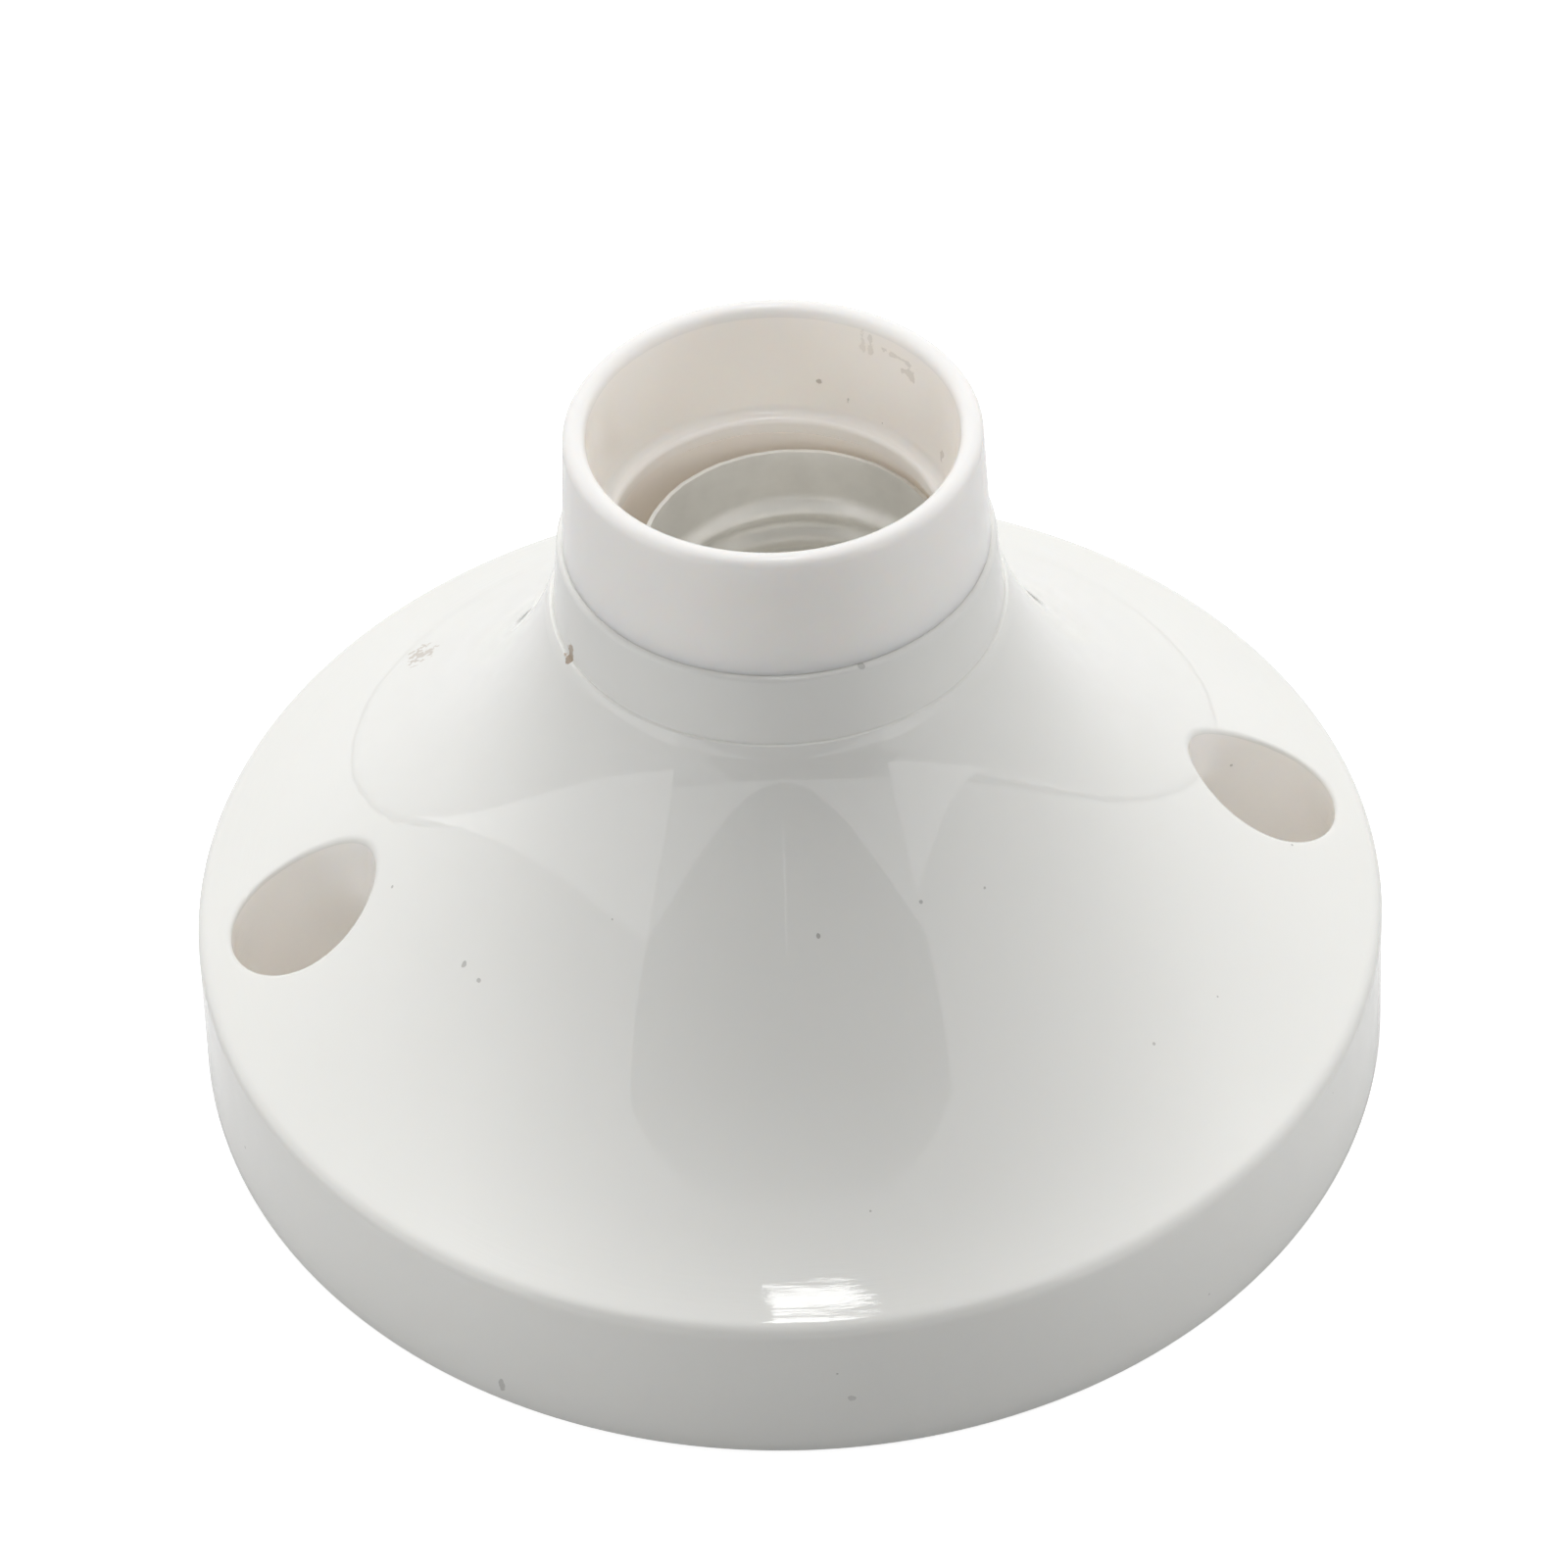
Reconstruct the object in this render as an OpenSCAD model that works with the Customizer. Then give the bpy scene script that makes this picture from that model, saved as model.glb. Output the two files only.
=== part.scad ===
// Batten lamp holder with a screw shell, for a ceiling or a wall.
// It stands on its open base, with the lamp's axis along +Z and its two screw wells on the X axis.

/* [Cover] */
// How far the skirt stands out past the walls of the screw wells
skirt_out = 2.45; // [2:0.05:6]
// How far the skirt leans in from its foot to its shoulder
skirt_draft = 0.7; // [0.2:0.1:2]
// Height of the skirt up to the middle of its rounded shoulder
skirt_h = 14.5; // [10:0.1:18]
// Rounding of the shoulder
shoulder_round = 1.5; // [0.5:0.1:2]
// Small bevel round the foot of the skirt
foot_bevel = 0.4; // [0.2:0.1:0.8]
// Height of the cover, from the foot to the top of its neck
cover_h = 59.2; // [56:0.1:64]
// Thickness of the cover's wall
cover_wall = 2.0; // [1.6:0.1:2.6]
// Steepness of the flare where it meets the shoulder, in degrees
flare_foot_angle = 12; // [6:1:20]
// How far the flare keeps that steepness
flare_foot_pull = 13.3; // [8:0.1:18]
// Steepness of the flare under the neck, in degrees
flare_top_angle = 71.5; // [66:0.5:76]
// How far the flare keeps that steepness
flare_top_pull = 20; // [14:0.5:24]

/* [Neck] */
// How far the flare stands out past the foot of the neck band
neck_step = 0.4; // [0.2:0.1:1]
// Height of the neck band
neck_band_h = 7.1; // [5:0.1:9]
// How far the neck band leans in from its foot to its top
band_draft = 0.7; // [0.2:0.1:1]
// How far the neck band stands out past the barrel at the seam
seam_step = 0.55; // [0.3:0.05:1]
// Rounding of the band's top edge
band_round = 0.5; // [0.2:0.1:0.8]
// Length of the bore in the neck that holds the barrel
neck_bore_l = 10.8; // [9:0.1:13]

/* [Screw wells] */
// Distance between the two ceiling screws
screw_spacing = 93; // [90:0.5:96]
// Diameter of each well
well_d = 14.4; // [12:0.1:15]
// Thickness of each well's wall
well_wall = 1.5; // [1.2:0.1:2]
// Thickness of each well's floor
well_floor = 2.8; // [2:0.1:4]
// Diameter of the hole for a ceiling screw
ceiling_hole_d = 4.8; // [4:0.1:5.5]

/* [Barrel] */
// Height of the barrel above the neck
rim_h = 12.4; // [10:0.1:15]
// How far the barrel leans in from the seam to the rim
barrel_draft = 0.7; // [0.2:0.1:1]
// Thickness of the barrel just under the rim
rim_t = 2.05; // [1.6:0.05:2.4]
// How far the inner wall leans in from the rim to the ledge
mouth_draft = 0.3; // [0:0.1:0.6]
// Depth of the ledge under the rim
ledge_drop = 11.5; // [9:0.1:14]
// Width of the ledge
ledge_w = 1.5; // [1.2:0.1:2]
// Thickness of the ledge's lip
lip_t = 1.7; // [1:0.1:2.5]
// How far the lip reaches in over the bore under it
lip_reach = 0.75; // [0.4:0.05:1.2]
// Thickness of the sleeve that stands inside the neck
sleeve_wall = 1.85; // [1.5:0.05:2.1]
// Width of each snap hook on the sleeve
hook_w = 8; // [5:0.5:12]
// How far each snap hook stands out
hook_reach = 0.9; // [0.5:0.1:1.2]

/* [Screw shell] */
// Depth of the shell's top edge under the ledge's lip
shell_under_lip = 1.2; // [0.6:0.1:2]
// Height of the shell
shell_h = 24.2; // [18:0.1:30]
// Inner diameter at the thread's roots
thread_root_d = 26.7; // [26.6:0.05:26.8]
// How far the thread's crests stand in
thread_depth = 1.1; // [1:0.05:1.15]
// Distance from one crest to the next
thread_pitch = 3.63; // [3.5:0.01:3.7]
// Depth of the first crest under the shell's top edge
first_crest = 5.8; // [5:0.1:6.5]
// Least height of the plain wall under the last crest
plain_foot = 2.5; // [2:0.1:4]
// Thickness of the sheet
shell_t = 0.35; // [0.3:0.05:0.4]
// How far the shell sits off the lamp holder's middle
shell_off = 1.5; // [0:0.1:1.8]
// Width of the shell's floor, from its crests to the hole for the island
shell_floor_w = 4.85; // [4.4:0.05:5.2]

/* [Block under the shell] */
// How far the block stands out past the sleeve
core_out = 2.6; // [2:0.1:5]
// Height of the block
core_h = 13; // [12:0.5:15]
// Thickness of the block's plate
plate_t = 4; // [4:0.1:5]
// Thickness of the block's walls
core_wall = 2; // [1.5:0.1:2.4]
// Height of the raised island over the plate
island_h = 2.5; // [2.2:0.1:3]
// Distance from the block's side to each fixing screw
ear_reach = 4; // [3.5:0.1:8]
// Width of the wire openings in the block's wall
wire_gap = 9; // [7:0.5:11]

/* [Contacts and terminals] */
// Thickness of the sprung centre strip
leaf_t = 0.5; // [0.4:0.05:0.6]
// Width of the sprung centre strip
leaf_w = 5; // [4:0.1:5.5]
// Height of the strip's crown over its foot
leaf_rise = 2.6; // [2:0.1:3]
// Thickness of the brass terminal strips
strip_t = 1; // [0.8:0.1:1.2]
// Width of the brass terminal strips
strip_w = 8; // [7.6:0.1:9]
// Room between each washer and the block's wall
washer_room = 2.2; // [1.8:0.1:2.6]
// Diameter of the terminal screws
terminal_screw_d = 4; // [3.5:0.1:4.2]
// Side of the square clamping washers
washer_w = 7.6; // [7:0.1:8]
// Thickness of the clamping washers
washer_t = 1; // [0.8:0.1:1.2]

/* [Hidden] */
$fn = 96;

// Clearances: between a piece and the piece that it passes through or sits in
sleeve_gap = 0.2;
hook_gap = 0.2;
sleeve_end_gap = 0.3;
island_gap = 0.4;
shell_gap = 0.25;
leaf_gap = 0.25;
strip_gap = 0.3;
thread_gap = 0.05;
washer_gap = 0.15;
rivet_gap = 0.1;
// A cut runs this far past the face that it opens
past = 1;
// Number of steps along the flare, along a small rounding and up the side of a crest
flare_steps = 28;
round_steps = 6;
crest_steps = 5;

// Colours
white = [0.91, 0.91, 0.9];
warm_white = [0.9, 0.88, 0.85];
aluminium = [0.76, 0.77, 0.78];
brass = [0.8, 0.66, 0.36];
bronze = [0.78, 0.6, 0.4];
steel = [0.7, 0.71, 0.72];
block_white = [0.87, 0.86, 0.83];

// Diameters, from the screw shell outwards to the skirt
shell_lip = 0.1;
shell_r = thread_root_d / 2 + shell_t;
thread_crest_d = thread_root_d - 2 * thread_depth;
shell_hole_d = thread_crest_d - 2 * shell_floor_w;
island_d = shell_hole_d - 2 * island_gap;
bore_d = 2 * (shell_r + shell_lip + shell_off + shell_gap);
opening_d = bore_d - 2 * lip_reach;
sleeve_d = bore_d + 2 * sleeve_wall;
mouth_foot_d = opening_d + 2 * ledge_w;
mouth_d = mouth_foot_d + 2 * mouth_draft;
rim_d = mouth_d + 2 * rim_t;
barrel_seam_d = rim_d + 2 * barrel_draft;
band_top_d = barrel_seam_d + 2 * seam_step;
band_foot_d = band_top_d + 2 * band_draft;
neck_foot_d = band_foot_d + 2 * neck_step;
base_d = screw_spacing + well_d + 2 * well_wall + 2 * skirt_out;
shoulder_d = base_d - 2 * skirt_draft;

// Places under the block's plate, outwards from the shell's rivets. The block is as wide as the sleeve over it
// and the terminals in it need.
shell_rivet_d = 2;
rivet_head = 1.8;
rivet_room = 0.7;
bay_wall_t = 1.6;
bay_wall_gap = 2.6;
bay_wall_x = shell_off + rivet_head * shell_rivet_d / 2 + rivet_room;
terminal_r = bay_wall_x + bay_wall_t + bay_wall_gap + washer_w / 2;
core_d = max(sleeve_d + 2 * core_out, 2 * terminal_r + washer_w + 2 * washer_room + 2 * core_wall);
ear_r = core_d / 2 + ear_reach;

// Heights of the pieces, from the foot upwards
height = cover_h + rim_h;
band_foot_z = cover_h - neck_band_h;
neck_under_z = cover_h - neck_bore_l;
ledge_z = height - ledge_drop;
shell_top_z = ledge_z - lip_t - shell_under_lip;
core_top_z = shell_top_z - shell_h;
plate_under_z = core_top_z - plate_t;
core_foot_z = core_top_z - core_h;
island_top_z = core_top_z + island_h;
strip_under_z = plate_under_z - strip_t;
washer_under_z = strip_under_z - washer_t;

// Points along a rounding from one angle to another
function arc(centre, r, a0, a1, steps = round_steps) =
    [for (i = [0:steps]) let (a = a0 + (a1 - a0) * i / steps)
        centre + r * [cos(a), sin(a)]];

// The flare is one smooth curve from the shoulder up to the neck band
flare_foot = [shoulder_d / 2 - shoulder_round * (1 - sin(flare_foot_angle)),
              skirt_h + shoulder_round * cos(flare_foot_angle)];
flare_top = [neck_foot_d / 2, band_foot_z];
foot_handle = flare_foot + flare_foot_pull * [-cos(flare_foot_angle), sin(flare_foot_angle)];
top_handle = flare_top + flare_top_pull * [cos(flare_top_angle), -sin(flare_top_angle)];

function flare(t) =
    pow(1 - t, 3) * flare_foot + 3 * pow(1 - t, 2) * t * foot_handle
    + 3 * (1 - t) * t * t * top_handle + pow(t, 3) * flare_top;
function flare_way(t) =
    3 * pow(1 - t, 2) * (foot_handle - flare_foot) + 6 * (1 - t) * t * (top_handle - foot_handle)
    + 3 * t * t * (flare_top - top_handle);
// The same curve, moved inwards by part of the wall
function inner_flare(t, inset) =
    let (way = flare_way(t) / norm(flare_way(t)))
    flare(t) + inset * [-way[1], way[0]];

// Outline of the space inside the cover, or of the middle of its wall
function inner_outline(inset, foot_z, top_z) =
    let (side = shoulder_d / 2 - inset,
         curve = [for (i = [0:flare_steps]) inner_flare(i / flare_steps, inset)],
         low = [for (p = curve) if (p[1] < top_z) [min(p[0], side), p[1]]])
    concat([[0, foot_z], [base_d / 2 - inset, foot_z]], low,
           [[low[len(low) - 1][0] - 0.01, top_z], [0, top_z]]);

module turned(outline) {
    rotate_extrude() polygon(outline);
}

module rod(d, z0, z1) {
    translate([0, 0, z0]) cylinder(d = d, h = z1 - z0);
}

// Puts a copy at each side of the middle, along X
module each_side(distance) {
    for (side = [-1, 1]) translate([side * distance, 0, 0]) children();
}

// Cover
boss_d = 7;
pilot_d = 3;
pilot_depth = 7;
band_step = 0.25;

cover_outline = concat(
    [[0, 0], [base_d / 2 - foot_bevel, 0], [base_d / 2, foot_bevel]],
    arc([shoulder_d / 2 - shoulder_round, skirt_h], shoulder_round, 0, 90 - flare_foot_angle),
    [for (i = [1:flare_steps]) flare(i / flare_steps)],
    [[band_foot_d / 2, band_foot_z + band_step]],
    arc([band_top_d / 2 - band_round, cover_h - band_round], band_round, 0, 90),
    [[0, cover_h]]);

module cover() {
    color(white) difference() {
        union() {
            difference() {
                turned(cover_outline);
                turned(inner_outline(cover_wall, -past, neck_under_z));
            }
            // Well tubes and screw bosses end inside the wall
            intersection() {
                turned(inner_outline(cover_wall / 2, 0, neck_under_z));
                union() {
                    each_side(screw_spacing / 2) rod(well_d + 2 * well_wall, 0, cover_h);
                    rotate(90) each_side(ear_r) rod(boss_d, core_top_z, cover_h);
                }
            }
        }
        each_side(screw_spacing / 2) {
            rod(well_d, well_floor, cover_h);
            rod(ceiling_hole_d, -past, well_floor + past);
        }
        rotate(90) each_side(ear_r) rod(pilot_d, core_top_z - past, core_top_z + pilot_depth);
        rod(sleeve_d + 2 * sleeve_gap, neck_under_z - past, cover_h + past);
    }
}

// Barrel
seam_bevel = 0.3;
ledge_round = 0.5;
hook_h = 3.5;
hook_edge = 0.5;
sleeve_foot_z = core_top_z + sleeve_end_gap;
hook_top_z = neck_under_z - hook_gap;

barrel_outline = concat(
    [[bore_d / 2, sleeve_foot_z], [sleeve_d / 2, sleeve_foot_z], [sleeve_d / 2, cover_h],
     [barrel_seam_d / 2 - seam_bevel, cover_h], [barrel_seam_d / 2, cover_h + seam_bevel]],
    arc([(rim_d - rim_t) / 2, height - rim_t / 2], rim_t / 2, 0, 180, 2 * round_steps),
    arc([mouth_foot_d / 2 - ledge_round, ledge_z + ledge_round], ledge_round, 0, -90),
    arc([opening_d / 2 + ledge_round, ledge_z - ledge_round], ledge_round, 90, 180),
    [[opening_d / 2, ledge_z - lip_t], [bore_d / 2, ledge_z - lip_t]]);

hook_outline = [[sleeve_d / 2 - sleeve_wall / 2, hook_top_z - hook_h], [sleeve_d / 2, hook_top_z - hook_h],
                [sleeve_d / 2 + hook_reach, hook_top_z - hook_edge], [sleeve_d / 2 + hook_reach, hook_top_z],
                [sleeve_d / 2 - sleeve_wall / 2, hook_top_z]];

module barrel() {
    color(warm_white) union() {
        turned(barrel_outline);
        intersection() {
            turned(hook_outline);
            translate([-sleeve_d, -hook_w / 2, core_top_z]) cube([2 * sleeve_d, hook_w, cover_h]);
        }
    }
}

// Screw shell: its wall runs in and out in rounded rings, with a narrow land on each crest
land_h = 0.4;
shell_floor_round = 1.6;
shell_lip_h = 0.6;
thread_room = shell_h - shell_t - shell_floor_round - plain_foot - first_crest + thread_pitch / 2;
thread_crests = floor(thread_room / thread_pitch);
thread_top_z = shell_top_z - first_crest + thread_pitch / 2;
thread_foot_z = thread_top_z - thread_crests * thread_pitch;

// How far the wall stands in from its roots, on the way from a root up to a crest
function wall_in(way) = thread_depth * (1 - cos(180 * way)) / 2;

// One crest, from the root over it to the land and down again to the next root
function crest(r, top_z) =
    let (rise = (thread_pitch - land_h) / 2)
    concat([for (i = [0:crest_steps]) [r - wall_in(i / crest_steps), top_z - rise * i / crest_steps]],
           [for (i = [crest_steps:-1:1])
               [r - wall_in(i / crest_steps), top_z - thread_pitch + rise * i / crest_steps]]);

function thread_side(r) =
    [for (i = [0:thread_crests - 1]) each crest(r, thread_top_z - i * thread_pitch)];

function backwards(list) = [for (i = [len(list) - 1:-1:0]) list[i]];

shell_outline = concat(
    [[thread_root_d / 2, shell_top_z]],
    thread_side(thread_root_d / 2),
    [[thread_root_d / 2, thread_foot_z]],
    arc([thread_root_d / 2 - shell_floor_round, core_top_z + shell_t + shell_floor_round],
        shell_floor_round, 0, -90),
    [[shell_hole_d / 2, core_top_z + shell_t], [shell_hole_d / 2, core_top_z]],
    arc([thread_root_d / 2 - shell_floor_round, core_top_z + shell_t + shell_floor_round],
        shell_floor_round + shell_t, -90, 0),
    [[shell_r, thread_foot_z]],
    backwards(thread_side(shell_r)),
    [[shell_r, shell_top_z - shell_lip_h], [shell_r + shell_lip, shell_top_z]]);

shell_rivet_r = (shell_hole_d + thread_crest_d) / 4;

module screw_shell() {
    color(aluminium) translate([shell_off, 0, 0]) difference() {
        turned(shell_outline);
        rotate(90) each_side(shell_rivet_r)
            rod(shell_rivet_d + 2 * rivet_gap, core_top_z - past, core_top_z + past);
    }
}

// Sprung centre strip, on the shell's own axis. Its heel rests on a shelf of the island, and it turns over
// the shelf's edge when a lamp presses on its crown.
heel_x = 0.7 - island_d / 2;
heel_l = 0.5;
shelf_x = heel_x + heel_l;
leaf_rivet_x = shelf_x + 1.5;
bend_x = leaf_rivet_x + 1.9;
crown_x = bend_x + 3.8;
crown_half = 1.2;
crown_drop = 0.3;
tip_x = crown_x + 3.2;
tip_drop = 1.2;
leaf_foot_z = core_top_z + 1;
leaf_rivet_d = 1.6;
press_depth = 0.7;

leaf_line = [[heel_x, leaf_foot_z], [bend_x, leaf_foot_z],
             [crown_x - crown_half, leaf_foot_z + leaf_rise - crown_drop], [crown_x, leaf_foot_z + leaf_rise],
             [crown_x + crown_half, leaf_foot_z + leaf_rise - crown_drop],
             [tip_x, leaf_foot_z + leaf_rise - tip_drop]];

// A strip of even thickness over a line of points, extruded across its width
module strip(line, t, w) {
    rotate([90, 0, 0]) translate([0, 0, -w / 2]) linear_extrude(w)
        polygon(concat(line, backwards([for (p = line) p + [0, t]])));
}

module centre_contact() {
    color(bronze) translate([shell_off, 0, 0]) difference() {
        strip(leaf_line, leaf_t, leaf_w);
        translate([leaf_rivet_x, 0, 0])
            rod(leaf_rivet_d + 2 * leaf_gap, leaf_foot_z - past, leaf_foot_z + leaf_t + past);
    }
}

// Moulded block with its island, ears, terminal bays and the wall between them
ear_d = 9;
ear_hole_d = 3.4;
pocket_gap = 0.5;
bay_notch_h = 1.5;
wire_gap_drop = 2;
screw_end_z = plate_under_z + 2.4;

// The space under the plate, without the wall between the bays
module bays() {
    difference() {
        rod(core_d - 2 * core_wall, core_foot_z - past, plate_under_z);
        translate([bay_wall_x, -core_d / 2, core_foot_z - past]) cube([bay_wall_t, core_d, core_h]);
    }
    translate([bay_wall_x - past, -core_d, strip_under_z - bay_notch_h])
        cube([bay_wall_t + 2 * past, core_d, strip_t + bay_notch_h]);
}

// Openings through the block's side, one to each bay
module wire_openings() {
    opening_h = plate_under_z - wire_gap_drop - core_foot_z + past;
    for (turn = [0, 180])
        rotate(turn) translate([terminal_r, -wire_gap / 2, core_foot_z - past])
            cube([core_d, wire_gap, opening_h]);
}

// Slot for the sprung strip: as deep as its heel on the shelf, and deeper from the shelf's edge on
module leaf_slot() {
    slot_w = leaf_w + 2 * leaf_gap;
    translate([-island_d, -slot_w / 2, leaf_foot_z]) cube([2 * island_d, slot_w, island_h]);
    translate([shelf_x, -slot_w / 2, core_top_z - press_depth])
        cube([island_d, slot_w, island_h + press_depth]);
}

module lamp_core() {
    color(block_white) difference() {
        union() {
            rod(core_d, core_foot_z, core_top_z);
            rotate(90) each_side(ear_r) rod(ear_d, plate_under_z, core_top_z);
            translate([-ear_d / 2, -ear_r, plate_under_z]) cube([ear_d, 2 * ear_r, plate_t]);
            translate([shell_off, 0, 0]) rod(island_d, core_top_z, island_top_z);
        }
        bays();
        wire_openings();
        rotate(90) each_side(ear_r) rod(ear_hole_d, plate_under_z - past, core_top_z + past);
        each_side(terminal_r)
            rod(terminal_screw_d + 2 * pocket_gap, plate_under_z - past, screw_end_z + pocket_gap);
        translate([shell_off, 0, 0]) {
            rotate(90) each_side(shell_rivet_r)
                rod(shell_rivet_d + 2 * rivet_gap, plate_under_z - past, core_top_z + past);
            translate([leaf_rivet_x, 0, 0])
                rod(leaf_rivet_d + 2 * rivet_gap, plate_under_z - past, island_top_z + past);
            leaf_slot();
        }
    }
}

// Rivets: a head over the work, a shank through it and a formed head under it
rivet_head_h = 0.4;

module rivet(x, y, d, top_z, under_z) {
    head_d = rivet_head * d;
    head_h = rivet_head_h * d;
    color(brass) translate([x, y, 0]) union() {
        rod(d, under_z - head_h / 2, top_z + head_h / 2);
        rod(head_d, top_z, top_z + head_h);
        rod(head_d, under_z - head_h, under_z);
    }
}

module centre_rivet() {
    rivet(shell_off + leaf_rivet_x, 0, leaf_rivet_d, leaf_foot_z + leaf_t, strip_under_z);
}

module shell_rivet_front() {
    rivet(shell_off, -shell_rivet_r, shell_rivet_d, core_top_z + shell_t, strip_under_z);
}

module shell_rivet_back() {
    rivet(shell_off, shell_rivet_r, shell_rivet_d, core_top_z + shell_t, plate_under_z);
}

// Brass terminal strips under the plate. The neutral one has a leg to the front rivet, and its corners are
// rounded off to clear the block's round wall.
strip_end = 4;
rivet_edge = 1.2;

module live_terminal() {
    inner_x = shell_off + leaf_rivet_x + rivet_edge * leaf_rivet_d;
    color(brass) difference() {
        translate([-terminal_r - strip_end, -strip_w / 2, strip_under_z])
            cube([terminal_r + strip_end + inner_x, strip_w, strip_t]);
        translate([-terminal_r, 0, 0]) rod(terminal_screw_d, strip_under_z - past, plate_under_z + past);
        translate([shell_off + leaf_rivet_x, 0, 0])
            rod(leaf_rivet_d + 2 * rivet_gap, strip_under_z - past, plate_under_z + past);
    }
}

module neutral_terminal() {
    foot_w = 2 * rivet_edge * shell_rivet_d;
    foot_y = -shell_rivet_r - foot_w / 2;
    color(brass) difference() {
        intersection() {
            union() {
                translate([terminal_r - strip_end, foot_y, strip_under_z])
                    cube([2 * strip_end, strip_w / 2 - foot_y, strip_t]);
                translate([shell_off - foot_w / 2, foot_y, strip_under_z])
                    cube([terminal_r - shell_off + foot_w / 2, foot_w, strip_t]);
            }
            rod(core_d - 2 * core_wall - 2 * strip_gap, strip_under_z, plate_under_z);
        }
        translate([terminal_r, 0, 0]) rod(terminal_screw_d, strip_under_z - past, plate_under_z + past);
        translate([shell_off, -shell_rivet_r, 0])
            rod(shell_rivet_d + 2 * rivet_gap, strip_under_z - past, plate_under_z + past);
    }
}

// Square clamping washer, pinched between a terminal screw's head and its strip
module washer(x) {
    color(steel) translate([x, 0, 0]) difference() {
        translate([-washer_w / 2, -washer_w / 2, washer_under_z]) cube([washer_w, washer_w, washer_t]);
        rod(terminal_screw_d + 2 * washer_gap, washer_under_z - past, strip_under_z + past);
    }
}

module live_washer() {
    washer(-terminal_r);
}

module neutral_washer() {
    washer(terminal_r);
}

// Slotted cheese-head screw, with its head down
screw_slot_w = 1;
screw_slot_share = 0.45;
screw_tip_share = 0.15;

module slotted_screw(d, head_d, head_h, seat_z, end_z) {
    slot_h = screw_slot_share * head_h;
    tip = screw_tip_share * d;
    difference() {
        union() {
            rod(head_d, seat_z - head_h, seat_z);
            rod(d, seat_z - head_h / 2, end_z - tip);
            translate([0, 0, end_z - tip]) cylinder(d1 = d, d2 = d - 2 * tip, h = tip);
        }
        translate([-head_d, -screw_slot_w / 2, seat_z - head_h - past])
            cube([2 * head_d, screw_slot_w, slot_h + past]);
    }
}

terminal_head_d = 1.75 * terminal_screw_d;
terminal_head_h = 0.6 * terminal_screw_d;

module terminal_screw(x) {
    color(steel) translate([x, 0, 0])
        slotted_screw(terminal_screw_d - 2 * thread_gap, terminal_head_d, terminal_head_h,
                      washer_under_z, screw_end_z);
}

module live_screw() {
    terminal_screw(-terminal_r);
}

module neutral_screw() {
    terminal_screw(terminal_r);
}

// Self-tapping screws that hold the block up against the cover's bosses
core_screw_head_d = 5.6;
core_screw_head_h = 2;
core_screw_grip = 5.5;

module core_screw(y) {
    color(steel) translate([0, y, 0])
        slotted_screw(pilot_d - 2 * thread_gap, core_screw_head_d, core_screw_head_h,
                      plate_under_z, core_top_z + core_screw_grip);
}

module core_screw_front() {
    core_screw(-ear_r);
}

module core_screw_back() {
    core_screw(ear_r);
}

cover();
barrel();
screw_shell();
lamp_core();
centre_contact();
centre_rivet();
shell_rivet_front();
shell_rivet_back();
live_terminal();
neutral_terminal();
live_washer();
neutral_washer();
live_screw();
neutral_screw();
core_screw_front();
core_screw_back();
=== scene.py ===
# %% [markdown]
# A plastic batten lamp holder, dressed for a white studio.
# The lamp holder's solids come in as a fixed frame. Here the three pieces that the eye meets first, the cover,
# the barrel and the screw shell, are rebuilt as fine meshes, and every piece gets its finish.

# %% Start
import math

import bmesh
import bpy
import numpy as np
from mathutils import Matrix, Vector
from mathutils.geometry import delaunay_2d_cdt


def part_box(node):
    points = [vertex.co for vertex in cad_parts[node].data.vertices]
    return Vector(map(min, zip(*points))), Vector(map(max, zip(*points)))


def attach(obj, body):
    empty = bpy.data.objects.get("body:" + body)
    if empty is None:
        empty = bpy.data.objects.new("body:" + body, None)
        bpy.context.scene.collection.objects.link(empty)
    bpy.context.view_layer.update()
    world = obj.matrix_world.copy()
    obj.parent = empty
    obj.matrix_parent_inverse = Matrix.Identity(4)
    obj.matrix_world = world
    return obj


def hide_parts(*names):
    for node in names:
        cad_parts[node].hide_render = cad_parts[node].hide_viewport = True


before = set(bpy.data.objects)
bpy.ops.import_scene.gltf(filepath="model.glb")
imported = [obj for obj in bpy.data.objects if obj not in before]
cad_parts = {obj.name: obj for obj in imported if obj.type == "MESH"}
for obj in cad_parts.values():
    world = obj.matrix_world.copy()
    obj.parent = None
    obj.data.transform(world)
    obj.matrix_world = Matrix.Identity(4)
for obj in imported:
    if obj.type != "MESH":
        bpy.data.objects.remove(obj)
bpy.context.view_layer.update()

MM = 0.001
BODY = "holder"

# %% [markdown]
# The camera stands where the photograph was taken from: in front, a little to the left, and looking down at
# 43 degrees with a long lens. A long lens far away keeps the round base from looking like an egg.
# The picture was cropped off centre, which is what the two small shifts stand for.

# %% Camera
CAMERA_PLACE = Vector((-0.04107, -0.31408, 0.33070))
CAMERA_HEADING = math.radians(7.98)
CAMERA_PITCH = math.radians(42.69)
CAMERA_ROLL = math.radians(-1.72)
CAMERA_LENS = 106.27
CAMERA_SHIFT = (-0.0192, -0.0542)


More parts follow.
